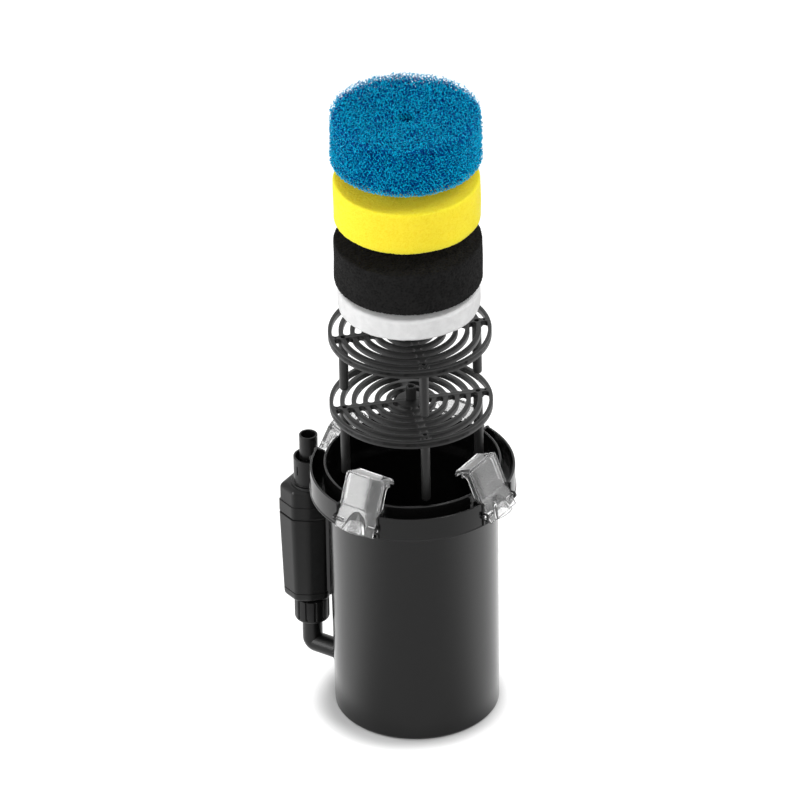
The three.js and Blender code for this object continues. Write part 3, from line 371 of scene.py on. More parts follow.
class Form:
    """Closed surfaces in millimetres that become one piece."""

    def __init__(self):
        self.patches = []

    def add(self, points, faces, corners):
        self.patches.append((np.asarray(points, float), faces, corners))
        return self

    def sweep(self, rows, ring=False):
        """Skins rows of points. A ring joins its last row to its first; other ends are capped."""
        rows = np.asarray(rows, float)
        count = rows.shape[1]
        spans = len(rows) if ring else len(rows) - 1
        faces, corners = [], []
        for k in range(spans):
            here, there = k * count, (k + 1) % len(rows) * count
            v0, v1 = WALL_SHARE * k / spans, WALL_SHARE * (k + 1) / spans
            for i in range(count):
                j = (i + 1) % count
                faces.append((here + i, here + j, there + j, there + i))
                u0, u1 = i / count, (i + 1) / count
                corners.append(((u0, v0), (u1, v0), (u1, v1), (u0, v1)))
        if not ring:
            around = [(math.cos(t), math.sin(t)) for t in np.linspace(0, math.tau, count, False)]
            for first, middle in zip((0, (len(rows) - 1) * count), CAP_MIDDLES):
                faces.append(tuple(range(first, first + count)))
                corners.append(tuple((middle + CAP_RADIUS * x, CAP_LEVEL + CAP_RADIUS * y)
                                     for x, y in around))
        return self.add(rows.reshape(-1, 3), faces, corners)

    def lathe(self, profile, segments=SEGMENTS, ring=False, place=None):
        """Turns [radius, height] points about Z, then moves the result to its place."""
        turns = np.linspace(0, math.tau, segments, False)
        rows = [
            np.stack([r * np.cos(turns), r * np.sin(turns), np.full(segments, z)], 1)
            for r, z in profile
        ]
        return self.sweep([moved(row, place) for row in rows], ring)

    def mesh(self, name):
        points, faces, corners = [], [], []
        across = math.ceil(math.sqrt(len(self.patches)))
        for n, (patch_points, patch_faces, patch_corners) in enumerate(self.patches):
            start = sum(len(p) for p in points)
            points.append(patch_points)
            faces += [tuple(start + v for v in face) for face in patch_faces]
            column, row = n % across, n // across
            for face in patch_corners:
                corners += [((column + u) / across, (row + v) / across) for u, v in face]
        mesh = bpy.data.meshes.new(name)
        mesh.from_pydata(np.concatenate(points) * MM, [], faces)
        layer = mesh.uv_layers.new(name="OFBake")
        layer.data.foreach_set("uv", np.asarray(corners, np.float32).ravel())
        shape = bmesh.new()
        shape.from_mesh(mesh)
        bmesh.ops.recalc_face_normals(shape, faces=shape.faces)
        shape.to_mesh(mesh)
        shape.free()
        smooth(mesh)
        return mesh

    def object(self, name):
        return in_scene(name, self.mesh(name))

    def piece(self, name, node, finish):
        return dress(self.object(name), node, finish)


print("a full turn has", SEGMENTS, "segments")


# %% Outlines
def soften(outline, radius, steps=4, closed=False):
    """Rounds each corner of an outline with a short curve; an open outline keeps its two ends.

    One radius serves all corners, or each corner has its own.
    """
    points = [np.array(p, float) for p in outline]
    count = len(points)
    radii = np.broadcast_to(radius, count)
    result = []
    for i, point in enumerate(points):
        if not closed and i in (0, count - 1):
            result.append(point)
            continue
        before, after = points[i - 1] - point, points[(i + 1) % count] - point
        reach = [min(radii[i], 0.45 * np.linalg.norm(d)) for d in (before, after)]
        start = point + before / np.linalg.norm(before) * reach[0]
        end = point + after / np.linalg.norm(after) * reach[1]
        for t in np.linspace(0, 1, steps + 1):
            result.append(start * (1 - t) ** 2 + point * 2 * t * (1 - t) + end * t**2)
    return result


def rod(radius, low, high, edge=0.5):
    """Profile of a round bar with softened ends."""
    return soften([(radius * 0.2, low), (radius, low), (radius, high), (radius * 0.2, high)], edge)


def tube(inner, outer, low, high, edge=0.4):
    """Closed profile of a tube."""
    corners = [(inner, low), (outer, low), (outer, high), (inner, high)]
    return soften(corners, edge, closed=True)


def bar(low, high, edge=0.6):
    """Rows of a box with softened upright edges, from its lowest to its highest corner."""
    (x0, y0, z0), (x1, y1, z1) = low, high
    outline = soften([(x0, y0), (x1, y0), (x1, y1), (x0, y1)], edge, closed=True)
    middle = np.array([(x0 + x1) / 2, (y0 + y1) / 2])

    def row(z, inset):
        inward = [(middle - p) * inset / max(1, np.linalg.norm(middle - p)) for p in outline]
        return [(*(p + step), z) for p, step in zip(outline, inward)]

    return [row(z0, edge), row(z0 + edge, 0), row(z1 - edge, 0), row(z1, edge)]


def eased(share):
    """A share from 0 to 1 that starts and ends softly."""
    return share * share * (3 - 2 * share)


print("points of a tube's profile:", len(tube(1, 2, 0, 3)))

# %% [markdown]
# ## The tub
#
# The real tub is one deep moulding with a slightly wider neck, and a bead where the collar sits.
# All of it is round, so its side view is turned about its axis, inside and outside in one go. A
# cylinder with a Solidify modifier would have the same wall everywhere, and no floor, bead or
# rounded rim. On the pump's side a boolean cuts the port for the elbow, with a round boss and two
# lugs for the bracket.

# %% Tub sizes
TUB_BASE_RADIUS, SHOULDER_RADIUS = 78.4, 81.2
TUB_WALL, TUB_FLOOR, TUB_ROUNDING = 2.0, 3.0, 1.1
FOOT_INSET, FOOT_RISE = 2.0, 2.6
NECK_RADIUS, NECK_WALL = 84.8, 2.4
BEAD_RADIUS, BEAD_HEIGHT, BEAD_SLOPE = 86.6, 2.6, 8.0  # the slope is the height where it starts
AXIS_HOLE = 2  # turned floors end just short of the axis, and a cap closes them
FIT = 0.3  # room between parts that meet
COLLAR_LOW, COLLAR_HIGH = size_of("collar_ring")
SHOULDER = COLLAR_LOW[2]
NECK_TOP = levels_of("tub_body")[1]
TOWARDS_PUMP = turn(135)
PUMP_AXIS = np.mean(size_of("rotor_shaft"), axis=0)
PUMP_RADIUS = float(np.hypot(PUMP_AXIS[0], PUMP_AXIS[1]))
ELBOW_HEIGHT = 23.0
PORT_RADIUS, PORT_BOSS_RADIUS, PORT_BOSS_REACH = 10.6, 12.5, 86.0
LUG_HALF_WIDTH, LUG_HALF_HEIGHT, LUG_REACH, LUG_FROM_END = 10.0, 8.0, 90.0, 14.0
BRACKET_LOW, BRACKET_HIGH = levels_of("pump_bracket")
LUG_HEIGHTS = (BRACKET_LOW + LUG_FROM_END, BRACKET_HIGH - LUG_FROM_END)
print("pump's axis, in millimetres from the tub's:", round(PUMP_RADIUS, 1))


# %% Tub
def tub():
    bead_top = SHOULDER - FIT
    inside = NECK_RADIUS - NECK_WALL
    wall = [
        (AXIS_HOLE, 0),
        (TUB_BASE_RADIUS - FOOT_INSET, 0),
        (TUB_BASE_RADIUS + 0.03, FOOT_RISE),
        (SHOULDER_RADIUS, bead_top - BEAD_SLOPE),
        (BEAD_RADIUS, bead_top - BEAD_HEIGHT),
        (BEAD_RADIUS, bead_top),
        (NECK_RADIUS, bead_top),
        (NECK_RADIUS, NECK_TOP),
        (inside, NECK_TOP),
        (inside, bead_top),
        (SHOULDER_RADIUS - TUB_WALL, bead_top - BEAD_SLOPE - 1),
        (TUB_BASE_RADIUS - TUB_WALL, TUB_FLOOR),
        (AXIS_HOLE, TUB_FLOOR),
    ]
    port = TOWARDS_PUMP @ shift(z=ELBOW_HEIGHT) @ ALONG_X
    start = TUB_BASE_RADIUS - 1
    shell = Form().lathe(soften(wall, TUB_ROUNDING)).object("tub_shell")
    bore = Form().lathe(rod(PORT_RADIUS, start - 10, start + 10), 72, place=port)
    return dress(cut_out(shell, bore.object("port_bore"), "EXACT"), "tub_body", TUB_PLASTIC)


def tub_fittings():
    """The port's boss and the two lugs."""
    start = TUB_BASE_RADIUS - 1
    port = TOWARDS_PUMP @ shift(z=ELBOW_HEIGHT) @ ALONG_X
    boss = tube(PORT_RADIUS, PORT_BOSS_RADIUS, start, PORT_BOSS_REACH)
    form = Form().lathe(boss, 72, True, port)
    for height in LUG_HEIGHTS:
        low = (start, -LUG_HALF_WIDTH, height - LUG_HALF_HEIGHT)
        high = (LUG_REACH, LUG_HALF_WIDTH, height + LUG_HALF_HEIGHT)
        form.sweep([moved(row, TOWARDS_PUMP) for row in bar(low, high, 1.2)])
    return form.piece("tub_fittings", "tub_body", TUB_PLASTIC)


print("tub faces:", len(tub().data.polygons))
tub_fittings()

# %% [markdown]
# ## The collar
#
# A gutter runs round the neck. Its outer wall stops at each clip, where two short webs close it
# off and two ears carry the clip's pins. Cutting a turned ring with booleans would leave ragged
# edges, so the section is swept round in small steps instead: where a clip stands, its top drops
# to the gutter's floor, and the floor itself steps in, so that the clip's foot can swing through.

# %% Collar sizes
COLLAR_RADIUS, COLLAR_TOP = COLLAR_HIGH[0], COLLAR_HIGH[2]
COLLAR_WALL = 2.2
COLLAR_FLOOR = SHOULDER + COLLAR_WALL
FOOT_BEAD, FOOT_BEAD_HEIGHT = 0.7, 1.1  # a thin raised line along its lower edge catches the light
CLIP_SIDES = {"front_left": -135, "front_right": -45, "rear_right": 45, "rear_left": 135}
NOTCH_HALF = 22.0
PIVOT_CIRCLE, PIVOT_HEIGHT = COLLAR_RADIUS + 0.5, COLLAR_FLOOR + 9.3
PIVOT_RADIUS, EAR_RADIUS, EAR_THICKNESS = 2.2, 3.7, 3.0
WEB_THICKNESS, WEB_DROP = 2.2, 0.4
FOOT_SLOT_HALF = 13.8  # the floor is open under each clip
FOOT_SLOT_EDGE = PIVOT_CIRCLE - 7.7
STEP = math.tau / SEGMENTS
SLIVER = 1e-4  # turn between two rows where the section jumps
print("collar, from", round(SHOULDER, 1), "to", round(COLLAR_TOP, 1), "millimetres up")


# %% Collar
def collar_row(angle, top, reach=COLLAR_RADIUS):
    """The gutter's section at one angle."""
    inner = reach - COLLAR_WALL
    section = soften(
        [
            (NECK_RADIUS + FIT, SHOULDER),
            (reach + FOOT_BEAD, SHOULDER),
            (reach + FOOT_BEAD, SHOULDER + FOOT_BEAD_HEIGHT),
            (reach, SHOULDER + FOOT_BEAD_HEIGHT + 0.8),
            (reach, top),
            (inner, top),
            (inner, COLLAR_FLOOR),
            (NECK_RADIUS + FIT, COLLAR_FLOOR),
        ],
        0.6, closed=True,
    )
    return [(r * math.cos(angle), r * math.sin(angle), z) for r, z in section]


def collar_rows():
    """Rows round the gutter: a clip's gap, then the full wall up to the next clip."""
    notch = math.asin(NOTCH_HALF / COLLAR_RADIUS)
    slot = math.asin(FOOT_SLOT_HALF / FOOT_SLOT_EDGE)
    low = COLLAR_FLOOR + 0.02
    rows = []
    for side in CLIP_SIDES.values():
        middle = math.radians(side)
        rows += [collar_row(middle - notch - SLIVER, COLLAR_TOP), collar_row(middle - notch, low),
                 collar_row(middle - slot - SLIVER, low)]
        for aside in np.linspace(-slot, slot, 7):
            rows.append(collar_row(middle + aside, low, FOOT_SLOT_EDGE / math.cos(aside)))
        rows += [collar_row(middle + slot + SLIVER, low), collar_row(middle + notch, low),
                 collar_row(middle + notch + SLIVER, COLLAR_TOP)]
        start, stop = middle + notch, middle + math.pi / 2 - notch
        for angle in np.arange(start + STEP, stop - STEP / 2, STEP):
            rows.append(collar_row(angle, COLLAR_TOP))
    return rows


def collar():
    form = Form().sweep(collar_rows(), ring=True)
    ear = tube(PIVOT_RADIUS + FIT, EAR_RADIUS, -EAR_THICKNESS / 2, EAR_THICKNESS / 2, 0.6)
    for side in CLIP_SIDES.values():
        place = turn(side)
        for hand in (-1, 1):
            inner, outer = sorted((hand * NOTCH_HALF, hand * (NOTCH_HALF + WEB_THICKNESS)))
            web = bar((NECK_RADIUS + FIT, inner, COLLAR_FLOOR - 0.6),
                      (COLLAR_RADIUS - 1, outer, COLLAR_TOP - WEB_DROP), 0.5)
            form.sweep([moved(row, place) for row in web])
            seat = shift(PIVOT_CIRCLE, hand * (NOTCH_HALF + EAR_THICKNESS / 2), PIVOT_HEIGHT)
            form.lathe(ear, 48, ring=True, place=place @ seat @ turn(90, "X"))
    return form.piece("collar_gutter", "collar_ring", TUB_PLASTIC)


print("collar faces:", len(collar().data.polygons))

# %% [markdown]
# ## The clips
#
# On the real filter each clip is one clear moulding: a plate with two side ribs, a hook with a
# turned-down bead, an arched thumb scoop at the foot and two pins. Separate clear parts pushed
# into each other would show their hidden faces through the plastic, and bevels fail where so many
# thin walls meet. So simple closed parts are joined by a fine voxel remesh, and smoothed a
# little, which rounds every edge as a mould does. A clip is built upright, with its pins along X,
# and then put in place.

# %% Clip sizes
CLIP_HALF, CLIP_TOP, CLIP_TAIL = 21.5, 48.5, 8.5
CLIP_PLATE, CLIP_LIP, CLIP_BEAD = 2.4, 17.0, 2.2
CLIP_KINK, CLIP_KINK_HEIGHT = 1.6, 15.0
CLIP_RIB, CLIP_RIB_DEPTH, CLIP_GUSSET = 2.2, 4.4, 10.2
CLIP_CORNER, CLIP_LEAN, CLIP_CROWN = 5.0, 22.7, 0.7
FRAME_WIDTH, FRAME_RISE, FRAME_ROOT = 1.8, 0.8, -0.4  # a low frame round the plate's outer face
SCOOP_HALF_WIDTH, SCOOP_DEPTH, SCOOP_HEIGHT, SCOOP_WALL = 13.0, 5.8, 23.0, 1.6
SCOOP_STEPS = (1, 0.9, 0.75, 0.6, 0.45, 0.3, 0.18, 0.08, 0.02)  # shares of its full size, upwards
PIN_PAST_PLATE = 3.7
CLIP_VOXEL = 0.36
HALF_PLATE = CLIP_PLATE / 2
HOOK_END = -CLIP_KINK - HALF_PLATE - CLIP_LIP
HOOK_UNDER = CLIP_TOP - CLIP_PLATE
print("clip:", 2 * CLIP_HALF, "x", CLIP_TOP + CLIP_TAIL, "millimetres")


# %% Clip plate and hook
def kinked(z):
    """How far out the plate's middle lies at a height: it leans out below the kink."""
    return -CLIP_KINK * min(z, CLIP_KINK_HEIGHT) / CLIP_KINK_HEIGHT


def half_width(z, inset=0.0):
    """Half the clip's width at a height, with its upper corners rounded."""
    corner = CLIP_CORNER - inset
    above = max(0.0, z - (CLIP_TOP - inset) + corner)
    return CLIP_HALF - inset - corner + math.sqrt(max(0.0, corner**2 - above**2))


def corner_heights(count):
    """Heights along the rounded upper corner."""
    return CLIP_TOP - CLIP_CORNER * (1 - np.sin(np.linspace(0.2, math.pi / 2, count)))


def slab(heights, low, high):
    """Rows across the clip from height to height, between two depths that may follow the kink."""
    rows = []
    for z in heights:
        half, back, front = half_width(z), low(z), high(z)
        rows.append([(-half, back, z), (half, back, z), (half, front, z), (-half, front, z)])
    return rows


def clip_frame():
    """The outer face's low frame: an arch-shaped band, as one ring."""
    straight = np.linspace(CLIP_KINK_HEIGHT, CLIP_TOP - CLIP_CORNER, 6)
    heights = np.concatenate([straight, corner_heights(8)])

    def arch(inset, rise):
        right = [(half_width(z, inset), min(z, CLIP_TOP - inset)) for z in heights]
        path = right + [(-x, z) for x, z in right[::-1]]
        return [(x, -CLIP_KINK + HALF_PLATE + rise, z) for x, z in path]

    band = ((0, FRAME_ROOT), (0, FRAME_RISE), (FRAME_WIDTH, FRAME_RISE), (FRAME_WIDTH, FRAME_ROOT))
    return [arch(inset, rise) for inset, rise in band]


print("the hook's end lies", round(HOOK_END, 1), "millimetres in from the pins")


# %% Clip ribs and scoop
def clip_rib(x, drop):
    """One side view of a rib, with its top lowered where the corner is rounded."""
    upper, deep = -CLIP_KINK, -CLIP_KINK - HALF_PLATE - CLIP_RIB_DEPTH
    gusset = upper - HALF_PLATE - CLIP_GUSSET
    top = CLIP_TOP - HALF_PLATE - drop
    side = [
        (upper, CLIP_KINK_HEIGHT),
        (upper, top),
        (gusset, top),
        (gusset, top - 1.0),
        (deep - 1.5, HOOK_UNDER - CLIP_RIB_DEPTH),
        (deep, HOOK_UNDER - CLIP_RIB_DEPTH - 3),
        (deep, CLIP_KINK_HEIGHT + CLIP_RIB_DEPTH),
    ]
    return [(x, y, z) for y, z in side]


def scoop(wall):
    """Rows of the thumb scoop: an arch in front view that opens downwards."""
    rows = []
    for share in SCOOP_STEPS:
        width = (SCOOP_HALF_WIDTH - wall) * math.sqrt(share)
        depth = (SCOOP_DEPTH + HALF_PLATE) * share**0.8 - wall
        z = -CLIP_TAIL + (SCOOP_HEIGHT - wall) * (1 - share)
        fan = [(math.cos(t), math.sin(t)) for t in np.linspace(0, math.pi, 25)]
        rows.append([(x * width, y * max(depth, 0.05) + kinked(z), z) for x, y in fan])
    return rows


print("a scoop has", len(scoop(0)), "rows")


# %% Clips
def clip_parts():
    """The closed parts of a clip, still apart."""
    heights = [-CLIP_TAIL, 0, CLIP_KINK_HEIGHT, 30, CLIP_TOP - CLIP_CORNER, *corner_heights(10)]
    upper = [HOOK_UNDER, *(z for z in heights if z > HOOK_UNDER)]
    bead = [HOOK_UNDER - CLIP_BEAD, HOOK_UNDER + 0.5]
    form = Form()
    form.sweep(slab(heights, lambda z: kinked(z) - HALF_PLATE, lambda z: kinked(z) + HALF_PLATE))
    form.sweep(slab(upper, lambda z: HOOK_END, lambda z: -CLIP_KINK))
    form.sweep(slab(bead, lambda z: HOOK_END, lambda z: HOOK_END + CLIP_BEAD))
    form.sweep(clip_frame(), ring=True)
    for hand in (-1, 1):
        outer, inner = hand * CLIP_HALF, hand * (CLIP_HALF - CLIP_RIB)
        form.sweep([clip_rib(outer, CLIP_CORNER), clip_rib(inner, 1.0)])
        ends = sorted((hand * SCOOP_HALF_WIDTH, hand * (CLIP_HALF + PIN_PAST_PLATE)))
        form.lathe(rod(PIVOT_RADIUS, *ends), 32, place=ALONG_X)
    return form.sweep(scoop(0) + scoop(SCOOP_WALL)[::-1], ring=True)


def clip(side):
    piece = clip_parts().object(f"clip_{side}")
    knit = piece.modifiers.new("knit", "REMESH")
    knit.mode, knit.voxel_size = "VOXEL", CLIP_VOXEL * MM
    ease = piece.modifiers.new("ease", "SMOOTH")
    ease.factor, ease.iterations = 0.5, 2
    settle(piece)
    points = np.empty(len(piece.data.vertices) * 3)
    piece.data.vertices.foreach_get("co", points)
    points = points.reshape(-1, 3) / MM
    points[:, 1] += CLIP_CROWN * np.clip(1 - (points[:, 0] / CLIP_HALF) ** 2, 0, 1)
    seat = turn(CLIP_SIDES[side] - 90) @ shift(0, PIVOT_CIRCLE, PIVOT_HEIGHT) @ turn(CLIP_LEAN, "X")
    piece.data.vertices.foreach_set("co", (moved(points, seat) * MM).ravel())
    smooth(piece.data, 180)
    return dress(piece, f"clip_{side}", CLEAR)


for side in CLIP_SIDES:
    print("clip", side, "faces:", len(clip(side).data.polygons))

# %% [markdown]
# ## The grids
#
# Each real grid is a thin moulded disc with ring-shaped slots between four spokes, a lip under
# its edge and four bosses that hold the legs. Cutting two dozen slots with booleans is slow and
# leaves sharp edges. A filled 2D curve takes all the slots as holes at once, and its bevel rounds
# every edge softly.

# %% Grid sizes
GRID_RADIUS = size_of("lower_grid")[1][0] + 1.0
GRID_THICKNESS, GRID_LIP_DEPTH, GRID_LIP_WIDTH = 5.4, 7.5, 2.6
GRID_RIM, RING_WIDTH, RING_COUNT = 3.6, 4.4, 6
RING_PITCH = (GRID_RADIUS - GRID_RIM + RING_WIDTH / 2) / (RING_COUNT + 1)
HUB_RADIUS, SPOKE_WIDTH = 14.4, 5.0
SLOT_STEP = 1.6  # length of one segment along a slot's edge
LEG_RADIUS, LEG_BOSS_RADIUS, LEG_BOSS_DROP, LEG_HOLE = 4.5, 6.2, 1.2, 2.3
LEG_PEG_RADIUS, LEG_PEG_FROM_TOP, LEG_PEG_SUNK = 1.7, 4.0, 2
LEG_ROUNDING, LEG_FOOT_ROUNDING = 1.0, 2.6
LEG_CIRCLE = float(np.hypot(*np.mean(size_of("lower_grid_leg_1"), axis=0)[:2]))
VENT_RADIUS, VENT_CIRCLE = 1.1, LEG_CIRCLE + LEG_BOSS_RADIUS + 1.1
STEM_RADIUS, STEM_PEG_RADIUS, STEM_RISE = 5.0, 2.7, 3.5
STEM_DIMPLE, STEM_DIMPLE_FLOOR, STEM_DIMPLE_DEPTH = 3.0, 2.6, 3
QUARTERS = (0, 90, 180, 270)
print("grid rings are", round(RING_PITCH, 2), "millimetres apart")


# %% Slots and slotted discs
def polar(radius, angle):
    return (radius * math.cos(angle), radius * math.sin(angle))


def circle(radius, middle=(0, 0), count=SEGMENTS):
    turns = np.linspace(0, math.tau, count, False)
    return [(middle[0] + radius * math.cos(t), middle[1] + radius * math.sin(t)) for t in turns]


def arc_slot(inner, outer, quarter):
    """A slot from spoke to spoke, with round ends."""
    middle, end = (inner + outer) / 2, (outer - inner) / 2
    trim = math.asin((SPOKE_WIDTH / 2 + end) / middle)
    start, stop = math.radians(quarter) + trim, math.radians(quarter + 90) - trim
    steps = max(8, round(middle * (stop - start) / SLOT_STEP))

    def round_end(angle, facing):
        cx, cy = polar(middle, angle)
        bow = [polar(end, facing + t) for t in np.linspace(0, math.pi, 11)[1:-1]]
        return [(cx + dx, cy + dy) for dx, dy in bow]

    outer_edge = [polar(outer, t) for t in np.linspace(start, stop, steps)]
    inner_edge = [polar(inner, t) for t in np.linspace(stop, start, steps)]
    return outer_edge + round_end(stop, stop) + inner_edge + round_end(start, start + math.pi)


def slotted_disc(outline, holes, low, high, edge=0.45):
    """Points and faces of a filled outline with holes, its edges rounded by the curve's bevel."""
    curve = bpy.data.curves.new("outline", "CURVE")
    curve.dimensions, curve.fill_mode = "2D", "BOTH"
    curve.extrude = (high - low) / 2 - edge
    curve.bevel_depth, curve.bevel_resolution, curve.offset = edge, 2, -edge
    for points in (outline, *[hole[::-1] for hole in holes]):
        spline = curve.splines.new("POLY")
        spline.points.add(len(points) - 1)
        spline.points.foreach_set("co", [v for x, y in points for v in (x, y, 0, 1)])
        spline.use_cyclic_u = True
    drawn = in_scene("outline", curve)
    evaluated = drawn.evaluated_get(bpy.context.evaluated_depsgraph_get())
    mesh = bpy.data.meshes.new_from_object(evaluated)
    bpy.data.objects.remove(drawn)
    shape = bmesh.new()
    shape.from_mesh(mesh)
    bmesh.ops.remove_doubles(shape, verts=shape.verts, dist=0.01)
    shape.verts.ensure_lookup_table()
    points = np.array([v.co for v in shape.verts]) + (0, 0, (low + high) / 2)
    faces = [tuple(v.index for v in face.verts) for face in shape.faces]
    shape.free()
    return points, faces


def flat_corners(points, faces):
    """UV pairs that look straight down on a patch."""
    low, high = points[:, :2].min(0), points[:, :2].max(0)
    flat = (points[:, :2] - low) / (high - low).max()
    return [tuple(map(tuple, flat[list(face)])) for face in faces]


print("points round the widest slot:", len(arc_slot(RING_PITCH * 6, RING_PITCH * 7, 0)))


# %% Grids
def grid(name):
    top = levels_of(name)[1]
    holes = []
    for k in range(1, RING_COUNT + 1):
        inner = HUB_RADIUS if k == 1 else RING_PITCH * k + RING_WIDTH / 2
        outer = RING_PITCH * (k + 1) - RING_WIDTH / 2
        holes += [arc_slot(inner, outer, quarter) for quarter in QUARTERS]
    for radius, ring, count in ((VENT_RADIUS, VENT_CIRCLE, 16), (LEG_HOLE, LEG_CIRCLE, 32)):
        holes += [circle(radius, polar(ring, math.radians(q)), count) for q in QUARTERS]
    points, faces = slotted_disc(circle(GRID_RADIUS), holes, top - GRID_THICKNESS, top)
    form = Form().add(points, faces, flat_corners(points, faces))
    lip = tube(GRID_RADIUS - GRID_LIP_WIDTH, GRID_RADIUS, top - GRID_LIP_DEPTH, top - 1, 0.5)
    form.lathe(lip, ring=True)
    boss_foot, boss_top = top - GRID_THICKNESS + 0.02, top - LEG_BOSS_DROP
    boss = tube(LEG_HOLE, LEG_BOSS_RADIUS, boss_foot, boss_top, 0.3)
    for quarter in QUARTERS:
        place = shift(*polar(LEG_CIRCLE, math.radians(quarter)))
        form.lathe(boss, 48, ring=True, place=place)
    return form.piece(f"{name}_disc", name, GRID_PLASTIC)


print("slots in a grid:", RING_COUNT * len(QUARTERS))

# %% [markdown]
# ## Legs and stem
#
# The grids stand on plain round legs, whose thin pegs push into the bosses, and a stem rises from
# the lower grid's hub. Each is a turned rod. Its feet are rounded more than its shoulders, so
# `soften` gets a radius for each corner. A cylinder with a Bevel modifier would round all of them
# alike.

# %% Legs and stem
def leg(node):
    low, high = size_of(node)
    middle = (low + high) / 2
    shoulder, peg_top = high[2] - LEG_PEG_FROM_TOP, high[2] - LEG_PEG_SUNK
    profile = soften(
        [(0.5, low[2]), (LEG_RADIUS, low[2]), (LEG_RADIUS, shoulder), (LEG_PEG_RADIUS, shoulder),
         (LEG_PEG_RADIUS, peg_top), (0.5, peg_top)],
        (0, LEG_FOOT_ROUNDING, LEG_ROUNDING, LEG_ROUNDING, LEG_ROUNDING, 0),
    )
    form = Form().lathe(profile, 48, place=shift(middle[0], middle[1]))
    return form.piece(f"{node}_rod", node, GRID_PLASTIC)


def stem():
    bottom, top = levels_of("centre_stem")
    seat, top = bottom + GRID_THICKNESS + FIT, top + STEM_RISE
    profile = soften(
        [(0.5, bottom), (STEM_PEG_RADIUS, bottom), (STEM_PEG_RADIUS, seat), (STEM_RADIUS, seat),
         (STEM_RADIUS, top), (STEM_DIMPLE, top), (STEM_DIMPLE_FLOOR, top - STEM_DIMPLE_DEPTH),
         (0.5, top - STEM_DIMPLE_DEPTH)],
        0.7,
    )
    return Form().lathe(profile, 48).piece("centre_stem_post", "centre_stem", GRID_PLASTIC)


for tier in ("lower", "upper"):
    made = [grid(f"{tier}_grid"), *(leg(f"{tier}_grid_leg_{n}") for n in range(1, 5))]
    print(f"{tier} grid faces:", len(made[0].data.polygons), "and legs:", len(made) - 1)
print("made:", stem().name)

# %% [markdown]
# ## The pump
#
# The real pump's housing, its chamber cover and its cap share one section: a kite with eight
# sides and rounded corners, a little smaller towards the foot. Booleans could bore round holes
# into a kite-shaped block. Here every wall is a stack of loops around the pump's axis, all
# sampled at the same angles, so one loop can be the kite and the next a circle where a bore goes
# through, with clean rings between.

# %% The pump's section
PUMP_SECTION = ((25.5, 16), (4, 24), (-9, 17.5), (-22, 4.2))  # half outline, outward first
PUMP_CORNER, PUMP_WALL, PUMP_DRAFT = 3.0, 2.6, 2.6
SPIGOT_RADIUS, SPIGOT_BORE, SPIGOT_LENGTH = 12.0, 8.6, 11.5
COVER_BOTTOM = levels_of("impeller_chamber_cover")[0] + SPIGOT_LENGTH
HOUSING_BOTTOM, SEAM = levels_of("pump_housing")
CAP_HEIGHT = 32
CAP_BOTTOM, SOCKET_TOP = levels_of("pump_cap")
CAP_TOP = CAP_BOTTOM + CAP_HEIGHT
PUMP_PLACE = TOWARDS_PUMP @ shift(x=PUMP_RADIUS)
LOOP_ANGLES = np.linspace(-math.pi, math.pi, 360, False)


def pump_outline(inset):
    """The section, moved in by a distance, with rounded corners: a radius for each loop angle."""
    corners = [(x, -y) for x, y in PUMP_SECTION[::-1]] + list(PUMP_SECTION)
    lines = []
    for (x0, y0), (x1, y1) in zip(corners, corners[1:] + corners[:1]):
        normal = np.array([-(y1 - y0), x1 - x0]) / math.hypot(x1 - x0, y1 - y0)
        lines.append((normal, normal @ (x0, y0) + inset))
    points = []
    for (n0, d0), (n1, d1) in zip(lines[-1:] + lines[:-1], lines):
        points.append(np.linalg.solve(np.array([n0, n1]), (d0, d1)))
    outline = np.array(soften(points, PUMP_CORNER, 8, closed=True))
    angles = np.arctan2(outline[:, 1], outline[:, 0])
    order = np.argsort(angles)
    angles, outline = angles[order], outline[order]
    radii = []
    for angle in LOOP_ANGLES:
        k = np.searchsorted(angles, angle) % len(angles)
        a, along = outline[k - 1], outline[k] - outline[k - 1]
        x, y = math.cos(angle), math.sin(angle)
        radii.append((a[0] * along[1] - a[1] * along[0]) / (x * along[1] - y * along[0]))
    return np.array(radii)


print("pump, from", round(COVER_BOTTOM, 1), "to", round(CAP_TOP, 1), "millimetres up")


# %% Loops
def loop(radii, z):
    """One level loop, with one radius or a radius for each angle."""
    radii = np.broadcast_to(radii, len(LOOP_ANGLES))
    return [(r * math.cos(t), r * math.sin(t), z) for t, r in zip(LOOP_ANGLES, radii)]


def kite(inset, z):
    """One loop of the pump's section, moved in by a distance."""
    return loop(pump_outline(inset), z)


def draft(z):
    """How much the section has shrunk at a height."""
    return PUMP_DRAFT * (SEAM - z) / (SEAM - COVER_BOTTOM)


def pump_form(loops):
    """A stack of loops, skinned as a ring and stood at the pump's place."""
    return Form().sweep([moved(level, PUMP_PLACE) for level in loops], ring=True)


print("points in a loop:", len(kite(0, 0)))

# %% Chamber cover and housing
EDGE = 0.5
CHAMBER_RADIUS, CHAMBER_HEIGHT, BULKHEAD = 14.0, 14.0, 3.0
WELL_RADIUS, WELL_WALL, WELL_HEIGHT = 9.6, 1.8, 42.0
COVER_TOP = HOUSING_BOTTOM - FIT
COVER_BEVEL, COVER_FLOOR = 4.5, 3


